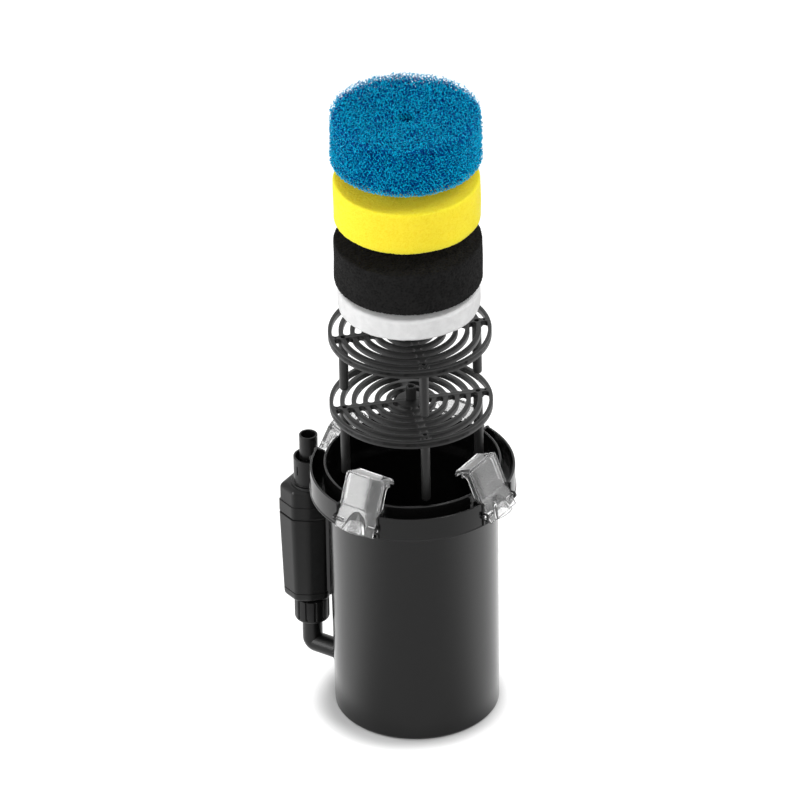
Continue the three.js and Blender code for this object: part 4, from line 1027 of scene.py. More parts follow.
def chamber_cover():
    foot, cover = COVER_BOTTOM, COVER_TOP
    bevel = [kite(draft(foot) + COVER_BEVEL - COVER_BEVEL * math.sin(t),
                  foot + COVER_BEVEL - COVER_BEVEL * math.cos(t))
             for t in np.linspace(0, math.pi / 2, 7)]
    loops = [
        loop(SPIGOT_BORE, foot), loop(SPIGOT_BORE + 0.2, foot), *bevel,
        kite(draft(cover), cover - EDGE), kite(draft(cover) + EDGE, cover),
        loop(CHAMBER_RADIUS, cover), loop(CHAMBER_RADIUS, foot + COVER_FLOOR),
        loop(SPIGOT_BORE, foot + COVER_FLOOR),
    ]
    form = pump_form(loops)
    spigot = tube(SPIGOT_BORE, SPIGOT_RADIUS, foot - SPIGOT_LENGTH, foot + 1)
    form.lathe(spigot, 96, True, PUMP_PLACE)
    return form.piece("chamber_cover_shell", "impeller_chamber_cover", PUMP_PLASTIC)


def housing():
    low, bulkhead = HOUSING_BOTTOM, COVER_TOP + CHAMBER_HEIGHT + BULKHEAD
    loops = [
        loop(CHAMBER_RADIUS, low), kite(draft(low) + EDGE, low), kite(draft(low), low + EDGE),
        kite(0, SEAM - EDGE), kite(EDGE, SEAM), kite(PUMP_WALL, SEAM),
        kite(draft(bulkhead) + PUMP_WALL, bulkhead), loop(WELL_RADIUS, bulkhead),
        loop(WELL_RADIUS, bulkhead - BULKHEAD), loop(CHAMBER_RADIUS, bulkhead - BULKHEAD),
    ]
    outside, ceiling = WELL_RADIUS + WELL_WALL, bulkhead + WELL_HEIGHT
    well = [(0.5, ceiling + WELL_WALL), (outside, ceiling + WELL_WALL), (outside, bulkhead - 1),
            (WELL_RADIUS, bulkhead - 1), (WELL_RADIUS, ceiling), (0.5, ceiling)]
    form = pump_form(loops).lathe(well, 72, place=PUMP_PLACE)
    return form.piece("pump_housing_shell", "pump_housing", PUMP_PLASTIC)


for made in (chamber_cover(), housing()):
    print(made.name, "faces:", len(made.data.polygons))

# %% Cap and outlet pipe
CAP_BAND, CAP_LIP, CAP_SHOULDER, CAP_ROOF = 12.6, 1.0, 6.0, 5.0
SOCKET_FOOT = CAP_TOP + 2
SOCKET_RING, SOCKET_RADIUS, SOCKET_MOUTH, SOCKET_MOUTH_DEPTH = 17.6, 14.8, 12.9, 14.0
PIPE_RADIUS, PIPE_BORE, PIPE_SEAT, PIPE_RISE = 8.9, 7.0, 2.0, 3
SOCKET_SLOT = (1.4, 10.0, 11.9, 74.0)  # width, height, drop of its middle, and its angle


def cap_walls():
    lip, roof = CAP_BOTTOM + CAP_BAND, CAP_TOP - CAP_ROOF
    shoulder = [kite(CAP_LIP + CAP_SHOULDER * (1 - math.cos(t)),
                     CAP_TOP - CAP_SHOULDER * (1 - math.sin(t)))
                for t in np.linspace(0, math.pi / 2, 9)]
    return pump_form([
        kite(PUMP_WALL, CAP_BOTTOM), kite(EDGE, CAP_BOTTOM), kite(0, CAP_BOTTOM + EDGE),
        kite(0, lip - 0.2), kite(0.3, lip), kite(CAP_LIP - 0.1, lip + 0.2),
        kite(CAP_LIP, lip + CAP_LIP), *shoulder, loop(PIPE_BORE, CAP_TOP), loop(PIPE_BORE, roof),
        kite(PUMP_WALL + CAP_LIP, roof - CAP_SHOULDER),
    ])


def cap():
    roof, mouth = CAP_TOP - CAP_ROOF, SOCKET_TOP - SOCKET_MOUTH_DEPTH
    pipe, seat = PIPE_RADIUS + FIT, SOCKET_FOOT + PIPE_SEAT - FIT
    socket = soften(
        [(PIPE_BORE, roof + 0.5), (SOCKET_RING, CAP_TOP - 1), (SOCKET_RING, SOCKET_FOOT),
         (SOCKET_RADIUS, SOCKET_FOOT), (SOCKET_RADIUS, SOCKET_TOP), (SOCKET_MOUTH, SOCKET_TOP),
         (SOCKET_MOUTH, mouth), (pipe, mouth), (pipe, seat), (PIPE_BORE, seat)],
        0.6, closed=True,
    )
    piece = cap_walls().lathe(socket, 144, True, PUMP_PLACE).object("pump_cap_shell")
    width, height, drop, angle = SOCKET_SLOT
    slot = bar((SOCKET_MOUTH - 1, -width / 2, SOCKET_TOP - drop - height / 2),
               (SOCKET_RADIUS + 1, width / 2, SOCKET_TOP - drop + height / 2), 0.3)
    cutter = Form().sweep([moved(row, PUMP_PLACE @ turn(angle)) for row in slot])
    cut_out(piece, cutter.object("socket_slot"), "FAST")
    return dress(piece, "pump_cap", PUMP_PLASTIC)


def outlet_pipe():
    low, high = levels_of("outlet_pipe")
    profile = tube(PIPE_BORE, PIPE_RADIUS, low, high + PIPE_RISE, 0.7)
    form = Form().lathe(profile, 96, True, PUMP_PLACE)
    return form.piece("outlet_tube", "outlet_pipe", PUMP_PLASTIC)


for made in (cap(), outlet_pipe()):
    print(made.name, "faces:", len(made.data.polygons))

# %% [markdown]
# ## Union and elbow
#
# A grooved nut clamps the elbow to the pump's inlet, and the elbow runs through a rubber grommet
# into the tub. The nut's grooves could be cut one by one. As a stack of loops it only needs a
# radius that dips twelve times on the way round. The elbow is a round section swept along a bent
# route, which keeps its bore open. A bevelled curve would be shorter to write, but has no wall.

# %% Union nut
NUT_RADIUS, NUT_RIBS, NUT_SKIRT, NUT_FLOOR = 16.7, 12, 3.0, 7.6
NUT_GROOVE_WIDTH, NUT_GROOVE_DEPTH, NUT_GROOVE_SIDE = 2.0, 1.3, 0.7
NUT_FOOT, NUT_TOP = levels_of("union_nut")
NUT_FOOT -= 4  # the photograph shows it reach further down
ELBOW_RADIUS, ELBOW_WALL, ELBOW_MITRE = 8.0, 2.0, 3.0


def union_nut():
    low, high, seat = NUT_FOOT, NUT_TOP, NUT_FOOT + NUT_FLOOR
    pitch = math.tau / NUT_RIBS
    aside = np.abs(LOOP_ANGLES % pitch - pitch / 2) * NUT_RADIUS
    inside = (NUT_GROOVE_WIDTH / 2 + NUT_GROOVE_SIDE / 2 - aside) / NUT_GROOVE_SIDE
    groove = eased(np.clip(inside, 0, 1)) * NUT_GROOVE_DEPTH

    def ribbed(inset, z, share):
        return loop(NUT_RADIUS - inset - groove * share, z)

    return pump_form([
        loop(ELBOW_RADIUS + FIT, low), ribbed(1.6, low, 0), ribbed(0.5, low + 0.8, 0),
        ribbed(0, low + 2, 0), ribbed(0, low + NUT_SKIRT, 0),
        ribbed(0, low + NUT_SKIRT + NUT_GROOVE_SIDE, 1), ribbed(0, high - 1, 1),
        ribbed(0.25, high - 0.3, 1), ribbed(0.9, high, 1), loop(SPIGOT_RADIUS + FIT, high),
        loop(SPIGOT_RADIUS + FIT, seat), loop(ELBOW_RADIUS + FIT, seat),
    ]).piece("union_nut_grip", "union_nut", PUMP_PLASTIC)


print("union nut faces:", len(union_nut().data.polygons))

# %% Elbow and grommet
ELBOW_SWELL, ELBOW_SOCKET = 1.6, 13.0  # it is thicker between the nut and the tub
ELBOW_TOP = levels_of("elbow_pipe")[1]
ELBOW_FLANGE, ELBOW_FLANGE_RADIUS = 2.7, 11.7
TUB_INSIDE_AT_PORT = TUB_BASE_RADIUS + 0.27 - TUB_WALL
ELBOW_END = TUB_INSIDE_AT_PORT - PUMP_RADIUS
GROMMET_FLANGE, GROMMET_THICKNESS = 12.2, 2


def elbow_route():
    """The elbow's middle line, in the upright plane through both axes, from its top."""
    swell_end = ELBOW_END + ELBOW_SOCKET
    bend = soften([(0, NUT_FOOT - 1), (0, ELBOW_HEIGHT + ELBOW_MITRE), (-ELBOW_MITRE, ELBOW_HEIGHT),
                   (swell_end + 0.6, ELBOW_HEIGHT)], 2)
    return [np.array((0.0, ELBOW_TOP)), np.array((0.0, NUT_FOOT - 0.4)), *bend,
            np.array((swell_end, ELBOW_HEIGHT)), np.array((ELBOW_END, ELBOW_HEIGHT))]


def elbow():
    route = elbow_route()
    turns = np.linspace(0, math.tau, 64, False)
    outer, inner = [], []
    for i, (x, z) in enumerate(route):
        ahead = route[min(i + 1, len(route) - 1)] - route[max(i - 1, 0)]
        ahead = ahead / np.linalg.norm(ahead)
        swollen = z < NUT_FOOT - 0.5 and x > ELBOW_END + ELBOW_SOCKET
        thick = ELBOW_RADIUS + ELBOW_SWELL * swollen
        for radius, rows in ((thick, outer), (ELBOW_RADIUS - ELBOW_WALL, inner)):
            rows.append([(x + ahead[1] * radius * math.cos(t), radius * math.sin(t),
                          z - ahead[0] * radius * math.cos(t)) for t in turns])
    form = pump_form(outer + inner[::-1])
    bore = ELBOW_RADIUS - ELBOW_WALL
    flange = tube(bore, ELBOW_FLANGE_RADIUS, ELBOW_TOP - ELBOW_FLANGE, ELBOW_TOP)
    form.lathe(flange, 96, True, PUMP_PLACE)
    return form.piece("elbow_bend", "elbow_pipe", PUMP_PLASTIC)


def grommet():
    face = PORT_BOSS_REACH + FIT - PUMP_RADIUS
    bore, sleeve, flange = ELBOW_RADIUS + FIT, PORT_RADIUS - FIT, GROMMET_FLANGE
    profile = soften([(bore, ELBOW_END), (sleeve, ELBOW_END), (sleeve, face), (flange, face),
                      (flange, face + GROMMET_THICKNESS), (bore, face + GROMMET_THICKNESS)],
                     0.5, closed=True)
    place = PUMP_PLACE @ shift(z=ELBOW_HEIGHT) @ ALONG_X
    return Form().lathe(profile, 96, True, place).piece("grommet_ring", "elbow_grommet", RUBBER)


for made in (elbow(), grommet()):
    print(made.name, "faces:", len(made.data.polygons))

# %% [markdown]
# ## Bracket, screws and cable gland
#
# A channel with two screws holds the pump off the tub's wall, and a ribbed rubber boot marks
# where the cable would go in. They are small and half hidden, but the gap between pump and tub is
# in plain sight, so plain boxes and turned profiles are enough here, as long as their edges are
# rounded.

# %% Bracket
BRACKET_HALF_WIDTH, BRACKET_PLATE, BRACKET_RAIL, RAIL_REACH = 11.0, 3.0, 3.0, 7.0
BRACKET_BACK = LUG_REACH + FIT


def bracket():
    face = BRACKET_BACK + BRACKET_PLATE
    flat = PUMP_RADIUS + PUMP_SECTION[3][0] - FIT
    boxes = [((BRACKET_BACK, -BRACKET_HALF_WIDTH, BRACKET_LOW),
              (face, BRACKET_HALF_WIDTH, BRACKET_HIGH))]
    for y in (-RAIL_REACH, RAIL_REACH - BRACKET_RAIL):
        boxes.append(((face - 1, y, BRACKET_LOW), (flat, y + BRACKET_RAIL, BRACKET_HIGH)))
    form = Form()
    for low, high in boxes:
        form.sweep([moved(row, TOWARDS_PUMP) for row in bar(low, high, 0.5)])
    return form.piece("bracket_channel", "pump_bracket", PUMP_PLASTIC)


print("bracket faces:", len(bracket().data.polygons))

# %% Screws and gland
SCREW_RADIUS, SCREW_THICKNESS, SCREW_SHAFT = 3.0, 2.0, 1.6
SCREW_TIP, SCREW_TIP_START = 7.7, 7.0
GLAND_RADIUS, GLAND_TIP, GLAND_LENGTH, GLAND_COLLAR = 4.6, 3.0, 11.0, 3.3
GLAND_RIBS, GLAND_GROOVE = 4, 0.9


def screw(name, height):
    """A pan-head screw, seen end on between the bracket's rails."""
    start, rim = BRACKET_BACK + BRACKET_PLATE + FIT, 0.4
    dome = [(SCREW_RADIUS * math.cos(t), start + rim + (SCREW_THICKNESS - rim) * math.sin(t))
            for t in np.linspace(0, math.pi / 2 - 0.25, 8)]
    profile = [(0.4, start - SCREW_TIP), (SCREW_SHAFT - 0.2, start - SCREW_TIP),
               (SCREW_SHAFT, start - SCREW_TIP_START), (SCREW_SHAFT, start), (SCREW_RADIUS, start),
               *dome]
    place = TOWARDS_PUMP @ shift(z=height) @ ALONG_X
    return Form().lathe(profile, 48, place=place).piece(f"{name}_head", name, STEEL)


def gland():
    """A ribbed rubber boot, with nothing in it."""
    profile = [(GLAND_TIP * 0.3, FIT), (GLAND_RADIUS, FIT), (GLAND_RADIUS, GLAND_COLLAR)]
    for k in range(GLAND_RIBS):
        start = GLAND_COLLAR + (GLAND_LENGTH - GLAND_COLLAR) * k / GLAND_RIBS
        taper = GLAND_RADIUS + (GLAND_TIP - GLAND_RADIUS) * (k + 1) / GLAND_RIBS
        groove = taper - GLAND_GROOVE
        profile += [(groove, start + 0.2), (groove, start + 0.8), (taper, start + 1.0),
                    (taper, start + 1.8)]
    profile += [(GLAND_TIP * 0.3, GLAND_LENGTH)]
    (x0, y0), (x1, y1) = PUMP_SECTION[0], PUMP_SECTION[1]
    outward = np.array([y1 - y0, x0 - x1]) / math.hypot(y1 - y0, x0 - x1)
    height = float(np.mean(size_of("cable_gland"), axis=0)[2])
    flank = np.array([(x0 + x1) / 2, (y0 + y1) / 2]) - outward * draft(height)
    facing = turn(-math.degrees(math.atan2(outward[1], outward[0])))
    place = PUMP_PLACE @ shift(flank[0], -flank[1], height) @ facing @ ALONG_X
    form = Form().lathe(soften(profile, 0.25), 48, place=place)
    return form.piece("gland_boot", "cable_gland", RUBBER)


for name, height in zip(("lower_bracket_screw", "upper_bracket_screw"), LUG_HEIGHTS):
    print("made:", screw(name, height).name)
print("made:", gland().name)

# %% [markdown]
# ## The filter pads
#
# Four round pads lie in one stack: white floss of matted fibre, black and yellow foam, and a
# coarse blue foam. The first three are turned forms whose surface is moved in and out point by
# point: pits for the two foams, loose fluff for the floss. A bump in the finish would be lighter,
# but the pits have to show at the rim and in the mesh itself. Each point keeps how deep it lies,
# so that the finish can paint the pits and hollows darker, as painted shade. Foam is stiff and
# doesn't sag, so nothing here needs a cloth simulation.

# %% Pad forms
PAD_AROUND, PAD_ROWS = 480, 196
PAD_SWELL, PAD_SWELL_SIZE = 0.6, 26  # slow unevenness, in millimetres
SOFT_SEED = Vector((31.7, 12.9, 5.3))


def pad_profile(node, rounding):
    """Radius, height and outward direction of points along a pad's side view, evenly spaced."""
    low, high = size_of(node)
    radius, bottom, top = high[0], low[2], high[2]
    under = [(radius - rounding * (1 - math.sin(t)), bottom + rounding * (1 - math.cos(t)))
             for t in np.linspace(0, math.pi / 2, 9)]
    over = [(r, bottom + top - z) for r, z in under[::-1]]
    line = np.array([(0.5, bottom), *under, *over, (0.5, top)])
    along = np.concatenate([[0], np.cumsum(np.hypot(*np.diff(line, axis=0).T))])
    even = np.linspace(0, along[-1], PAD_ROWS)
    r, z = (np.interp(even, along, line[:, k]) for k in (0, 1))
    outward = np.stack([np.gradient(z), -np.gradient(r)], 1)
    return r, z, outward / np.linalg.norm(outward, axis=1)[:, None]


def pad_points(node, rounding):
    """Rows of points round a pad, and the outward direction at each."""
    r, z, outward = pad_profile(node, rounding)
    turns = np.linspace(0, math.tau, PAD_AROUND, False)
    cos, sin = np.cos(turns)[None], np.sin(turns)[None]
    points = np.stack([r[:, None] * cos, r[:, None] * sin, z[:, None] + 0 * cos], 2)
    normals = np.stack([outward[:, :1] * cos, outward[:, :1] * sin, outward[:, 1:] + 0 * cos], 2)
    return points, normals


def keep_depth(mesh, name, values):
    """Stores a number for each vertex, for the finish to read."""
    layer = mesh.attributes.new(name, "FLOAT", "POINT")
    layer.data.foreach_set("value", np.asarray(values, np.float32).ravel())


def soft_pad(node, finish, rounding, relief):
    """A pad sunk by relief(point), which also gives each hollow's depth from 0 to 1, for painted
    shade.
    """
    points, normals = pad_points(node, rounding)
    flat = points.reshape(-1, 3)
    found = np.array([relief(Vector(p)) for p in flat])
    slow = np.array([noise.noise(Vector(p) / PAD_SWELL_SIZE + SOFT_SEED) for p in flat])
    height = PAD_SWELL * (slow - 0.5) - found[:, 0]
    shaped = points + normals * height.reshape(points.shape[:2])[..., None]
    piece = Form().sweep(shaped).object(f"{node}_body")
    keep_depth(piece.data, "pit_and_shade", found[:, 1])
    smooth(piece.data, 180)
    dress(piece, node, finish)
    return piece


print("points in a pad:", PAD_AROUND * PAD_ROWS)


# %% Pits and fluff
def foam_pits(cell, depth):
    """Relief of open foam: a hollow in every cell, with a thin ridge where two cells meet."""
    def relief(point):
        near, next_near = noise.voronoi(point / cell + SOFT_SEED)[0][:2]
        wall = min(1.0, (next_near - near) * 2.2)
        pit_and_shade = eased(wall) * (0.7 + 0.3 * noise.noise(point / 6))
        return depth * pit_and_shade, pit_and_shade
    return relief


def floss_relief(point):
    """Relief of matted fibre: shallow hollows with finer fluff on them."""
    broad = 0.5 + 0.5 * noise.fractal(point / 7, 1.0, 2.0, 4)
    return 0.5 * broad, broad


print("floss at the origin is sunk by", round(floss_relief(Vector())[0], 2), "millimetres")


# %% The white, black and yellow pads
def pad_finish(name, ridge, pit_and_shade, roughness, grain_mm, bump_mm, sheen=0.0, glow_through=0.0):
    """glow_through is how much light wanders on inside the foam, for some centimetres."""
    made = Finish(name, IOR=1.4, Specular_IOR_Level=0.25, Sheen_Weight=sheen,
                  Subsurface_Weight=glow_through, Subsurface_Radius=(1, 0.9, 0.35),
                  Subsurface_Scale=16 * MM)
    # How deep each point lies in its hollow; the hollows are painted darker with it, as painted
    # shade.
    deep = made.node("ShaderNodeAttribute", {"attribute_name": "pit_and_shade"}, output=2)
    fine = made.grain(grain_mm, detail=4, roughness=0.7)
    shade = made.blend(deep * (0.75 + 0.25 * fine), (*ridge, 1), (*pit_and_shade, 1))
    return made.shade(Base_Color=shade, Roughness=roughness, Normal=made.bump(fine, 0.6, bump_mm))


# Each pad's second colour is the painted shade in its pits and hollows.
WHITE_FLOSS = pad_finish(
    "white_floss", (0.74, 0.74, 0.74), (0.62, 0.62, 0.62), 1.0, 0.9, 0.35, sheen=0.1)
BLACK_FOAM = pad_finish(
    "black_foam", (0.0095, 0.0093, 0.0092), (0.0012, 0.0012, 0.0012), 0.9, 1.0, 0.3)
YELLOW_FOAM = pad_finish(
    "yellow_foam", (0.90, 0.74, 0.045), (0.82, 0.62, 0.015), 0.9, 0.7, 0.25, glow_through=0.7)
pads = [
    soft_pad("white_floss_pad", WHITE_FLOSS, 4, floss_relief),
    soft_pad("black_foam_pad", BLACK_FOAM, 2.2, foam_pits(2.7, 1.2)),
    soft_pad("yellow_foam_pad", YELLOW_FOAM, 2.5, foam_pits(1.9, 0.7)),
]
print("pads:", *(pad.name for pad in pads))

# %% [markdown]
# ## The coarse blue foam
#
# This foam is so open that light goes through its rim and every strut glints. Pits pressed into a
# solid pad would look closed, and a Wireframe modifier on random cells gives flat, torn faces.
# Real foam bubbles pack much like cells with eight six-sided and six square faces, so the pad is
# a thin shell of struts laid along the edges of such cells. The packing is turned at odd angles
# and bent by slow waves, which hides its regularity. The cut surface is ragged, some struts are
# missing near the rim, and a core inside stands for the foam further in. The core's dark colour
# and the darker colour of the deeper struts are painted shade.

# %% How bubbles pack
BLUE_CELL = 4.1  # width of one bubble
BEND, JITTER = 1.3, 2.2  # how far waves push the corners, and how far these stray, all in all
WAVES = (  # direction that it runs in, length, phase and push of each wave
    ((1, 0.3, 0.6), 9, 0.4, (0.3, 1.0, 0.5)),
    ((-0.4, 1, 0.2), 7, 2.1, (0.9, -0.2, 0.6)),
    ((0.2, -0.5, 1), 11, 4.4, (-0.6, 0.7, 0.2)),
)
SCATTER = np.array([[12.99, 39.35, 73.16], [78.23, 11.14, 52.24], [37.72, 83.16, 9.15]])


def packing(reach):
    """All corners of the cells within reach, in quarters of a cell, and the steps to the next.

    A corner has one coordinate that divides by 4, one that is 2 more, and an odd one. Each edge
    leads to a corner where the odd coordinate and one of the others have changed places.
    """
    span = np.arange(-reach, reach + 1)
    corners = np.stack(np.meshgrid(span, span, span, indexing="ij"), -1).reshape(-1, 3)
    rest = corners % 4
    kept = ((rest % 2).sum(1) == 1) & ((rest == 0).sum(1) == 1)
    corners, rest = corners[kept], rest[kept]
    every = np.arange(len(corners))
    odd = np.argmax(rest % 2, axis=1)
    starts, steps = [], []
    for kind in (0, 2):
        other = np.argmax(rest == kind, axis=1)
        towards = np.where((corners[every, odd] + 1) % 4 == kind, 1, -1)
        for sign in (-1, 1):
            step = np.zeros_like(corners)
            step[every, odd] = towards
            step[every, other] = sign
            first = step[every, np.minimum(odd, other)] > 0  # each edge is met from both ends
            starts.append(corners[first])
            steps.append(step[first])
    return np.concatenate(starts), np.concatenate(steps)


def bent(corners):
    """Places of the packing's corners in millimetres, turned, waved and a little out of true."""
    spin = np.array(turn(33, "X") @ turn(21, "Y") @ turn(17))[:3, :3]
    points = corners * (BLUE_CELL / 4) @ spin.T
    wave = sum(np.sin(points @ np.array(along) / length + phase)[:, None] * np.array(push)
               for along, length, phase, push in WAVES)
    hashed = np.sin(corners @ SCATTER) * 43758.5
    return points + wave * BEND + (hashed - np.floor(hashed) - 0.5) * JITTER


print("struts of a small packing:", len(packing(4)[0]))

# %% The blue pad's surface
BLUE_LOW, BLUE_HIGH = size_of("blue_foam_pad")
BLUE_LOW = BLUE_LOW + (0, 0, 0.5)
BLUE_HIGH = BLUE_HIGH + (0.6, 0.6, 5)  # loose struts stand proud of the solid
BLUE_RADIUS = BLUE_HIGH[0]
BLUE_MIDDLE = (BLUE_LOW[2] + BLUE_HIGH[2]) / 2
BLUE_HALF = (BLUE_HIGH[2] - BLUE_LOW[2]) / 2
BLUE_ROUNDING, BLUE_DISH, BLUE_BORE = 4.0, 8.0, 6.2
RAGGED, RAGGED_HEIGHT = 4.2, 12  # how deep the cut is broken up, and from what height on in full
CUTS = np.array([[1.9, 0.7, -1.1], [-0.8, 2.1, 0.9], [1.2, -0.6, 1.7]])  # directions of its waves
CUT_PHASES = (0.3, 1.7, 4.1)


def blue_depth(points):
    """How far inside the blue pad's surface each point lies; points outside are negative."""
    r = np.hypot(points[:, 0], points[:, 1])
    z = points[:, 2] - BLUE_MIDDLE
    dished = np.clip(1 - r / (BLUE_RADIUS - BLUE_ROUNDING), 0, 1) * BLUE_DISH
    z = np.where(z > 0, z + dished * np.clip(z / BLUE_HALF, 0, 1.2), z)
    aside = r - (BLUE_RADIUS - BLUE_ROUNDING)
    above = np.abs(z) - (BLUE_HALF - BLUE_ROUNDING)
    past = np.hypot(np.maximum(aside, 0), np.maximum(above, 0))
    corner = past + np.minimum(np.maximum(aside, above), 0)
    return np.minimum(BLUE_ROUNDING - corner, r - BLUE_BORE)


def ragged(points):
    """How much further in the cut surface lies: bubbles were cut open at random."""
    waves = np.sin(points @ CUTS + CUT_PHASES)
    higher = np.clip((points[:, 2] - BLUE_LOW[2]) / RAGGED_HEIGHT, 0.2, 1)  # cleaner at the bottom
    return RAGGED * higher * np.clip(0.5 + 0.5 * waves.sum(1) / 1.7, 0, 1)


print("blue pad, radius and height:", round(BLUE_RADIUS, 1), round(2 * BLUE_HALF, 1))

# %% Struts of the blue pad
STRUT = 0.33  # from a strut's middle to its corners
SHORTEST = 0.15  # struts cut shorter than this are dropped
SHELL, SHELL_BELOW, SHELL_EDGE = 6.0, 2.2, 3  # depth of the struts, at the underside less
LOOSE, LOOSE_REACH = 0.55, 20.0  # share missing at the very rim, and how far in that fades
LOT = np.array([12.9, 78.2, 37.7])  # draws a number for each strut from where it starts


def blue_struts():
    """Both ends of every strut in the shell, cut off at the pad's surface."""
    reach = math.ceil((math.hypot(BLUE_RADIUS, BLUE_HALF) + 4) / (BLUE_CELL / 4))
    starts, steps = packing(reach)
    middle = np.array([0, 0, BLUE_MIDDLE])
    near, far = bent(starts) + middle, bent(starts + steps) + middle
    near_depth, far_depth = (blue_depth(end) - ragged(end) for end in (near, far))
    underside = near[:, 2] < BLUE_MIDDLE - BLUE_HALF + SHELL_EDGE
    shell = np.where(underside, SHELL_BELOW, SHELL)
    from_rim = BLUE_RADIUS - np.hypot(near[:, 0], near[:, 1]) + BLUE_HIGH[2] - near[:, 2]
    chance = np.abs(np.sin(starts @ LOT) * 437.5) % 1
    kept = (np.maximum(near_depth, far_depth) > 0) & (np.minimum(near_depth, far_depth) < shell)
    kept &= chance > LOOSE * np.clip(1 - from_rim / LOOSE_REACH, 0, 1)
    near, far, near_depth, far_depth = (a[kept] for a in (near, far, near_depth, far_depth))
    for end, other, depth, other_depth in ((near, far, near_depth, far_depth),
                                           (far, near, far_depth, near_depth)):
        out = depth < 0
        share = (other_depth[out] / (other_depth[out] - depth[out]))[:, None]
        end[out] = other[out] + (end[out] - other[out]) * share
        depth[out] = 0
    long_enough = np.linalg.norm(far - near, axis=1) > SHORTEST
    return [a[long_enough] for a in (near, far, near_depth, far_depth)]


struts = blue_struts()
print("blue struts:", len(struts[0]))


# %% Meshes of struts
def unit(vectors):
    return vectors / np.linalg.norm(vectors, axis=1)[:, None]


def strut_points(near, far):
    """Six points for each strut: a triangle across either end."""
    along = unit(far - near)
    helper = np.where(np.abs(along[:, 2:]) < 0.8, (0.0, 0.0, 1.0), (1.0, 0.0, 0.0))
    side = unit(np.cross(along, helper))
    other_side = np.cross(along, side)
    arms = [STRUT * (math.cos(t) * side + math.sin(t) * other_side)
            for t in np.linspace(0, math.tau, 3, False)]
    return np.stack([end + arm for end in (near, far) for arm in arms], 1).reshape(-1, 3)


def strut_mesh(name, near, far, near_depth, far_depth):
    """Three-sided struts between pairs of points. Each vertex keeps its depth in the foam."""
    points = strut_points(near, far)
    base = np.arange(len(near))[:, None] * 6
    sides = ((0, 1, 4, 3), (1, 2, 5, 4), (2, 0, 3, 5))
    quads = np.stack([base + np.array(side) for side in sides], 1).reshape(-1)
    mesh = bpy.data.meshes.new(name)
    mesh.vertices.add(len(points))
    mesh.vertices.foreach_set("co", (points * MM).astype(np.float32).ravel())
    mesh.loops.add(len(quads))
    mesh.loops.foreach_set("vertex_index", quads.astype(np.int32))
    mesh.polygons.add(len(quads) // 4)
    mesh.polygons.foreach_set("loop_start", np.arange(0, len(quads), 4, dtype=np.int32))
    mesh.update(calc_edges=True)
    depth = np.repeat(np.stack([near_depth, far_depth], 1), 3, axis=1)
    keep_depth(mesh, "depth", np.clip(depth / SHELL, 0, 1))
    x, y, z = points[quads].T
    u = np.arctan2(y, x) / math.tau + 0.5
    v = (z - BLUE_LOW[2] + BLUE_RADIUS - np.hypot(x, y)) / (2 * BLUE_RADIUS)
    layer = mesh.uv_layers.new(name="OFBake")
    corners = np.stack([u, np.clip(v, 0, 1)], 1).astype(np.float32)
    layer.data.foreach_set("uv", corners.ravel())
    mesh.shade_smooth()
    return mesh


print("points of ten struts:", len(strut_points(struts[0][:10], struts[1][:10])))

# %% The blue pad
CORE_INSET, CORE_RIM, CORE_FOOT, CORE_FOOT_EDGE = 7.0, 20.0, 1.2, 4
CORE_BORE = BLUE_BORE + 2.5
# The deeper struts' darker colour is painted shade.
PAINTED_SHADE_FROM, PAINTED_SHADE_TO = 0.02, 0.4  # shares of the shell's depth between which the colour turns dark


def blue_finish(name, outer, deep, roughness):
    """Struts at the surface in the foam's own blue, over deeper ones painted darker as painted
    shade.
    """
    made = Finish(name, IOR=1.5, Specular_Tint=(0.08, 0.62, 1.0, 1))
    depth = made.node("ShaderNodeAttribute", {"attribute_name": "depth"}, output=2)
    tone = made.grain(2.2, detail=1)
    bright = made.blend(tone, (*[c * 0.62 for c in outer], 1), (*outer, 1))
    # Deeper struts are painted darker: painted shade.
    share = made.ramp(depth, PAINTED_SHADE_FROM, PAINTED_SHADE_TO, smooth=True)
    return made.shade(Base_Color=made.blend(share, bright, (*deep, 1)),
                      Roughness=roughness + 0.1 * tone)


def blue_core():
    """Turned form a few millimetres inside, with a well-rounded rim and a hole."""
    radius, top = BLUE_RADIUS - CORE_INSET, BLUE_HIGH[2] - CORE_INSET
    bottom = BLUE_LOW[2] + CORE_FOOT
    over = [(radius - CORE_RIM * (1 - math.cos(t)), top - CORE_RIM * (1 - math.sin(t)))
            for t in np.linspace(0, math.pi / 2, 12)]
    profile = [(CORE_BORE, bottom), (radius - CORE_FOOT_EDGE, bottom),
               (radius, bottom + CORE_FOOT_EDGE), *over,
               (radius * 0.5, top - BLUE_DISH / 2), (CORE_BORE, top - BLUE_DISH - 2)]
    return Form().lathe(soften(profile, 1.5, closed=True), 160, ring=True)


BLUE_STRUTS = blue_finish("blue_struts", (0.003, 0.66, 1.0), (0.0, 0.08, 0.34), 0.25)
# The core is painted all dark: painted shade of the foam further in.
BLUE_CORE_SHADE = blue_finish("blue_core", (0.0, 0.045, 0.20), (0.0, 0.045, 0.20), 0.8)
round_axis = np.arctan2(struts[0][:, 1], struts[0][:, 0]) / math.tau + 0.5
quarter = np.floor(round_axis * 3.999).astype(int)
for k in range(4):
    name = f"blue_foam_struts_{k + 1}"
    part = in_scene(name, strut_mesh(name, *(a[quarter == k] for a in struts)))
    dress(part, "blue_foam_pad", BLUE_STRUTS)
    print(name, "struts:", int((quarter == k).sum()))
blue_core().piece("blue_foam_core", "blue_foam_pad", BLUE_CORE_SHADE)

# %% [markdown]
# ## Finishes of the nodes that stay
#
# The magnet, impeller, shaft and seals lie deep inside the pump, and their CAD solids have the
# right shapes. They could be rebuilt too, but nobody would see it. They keep their solids, each
# with the finish of its material slot.

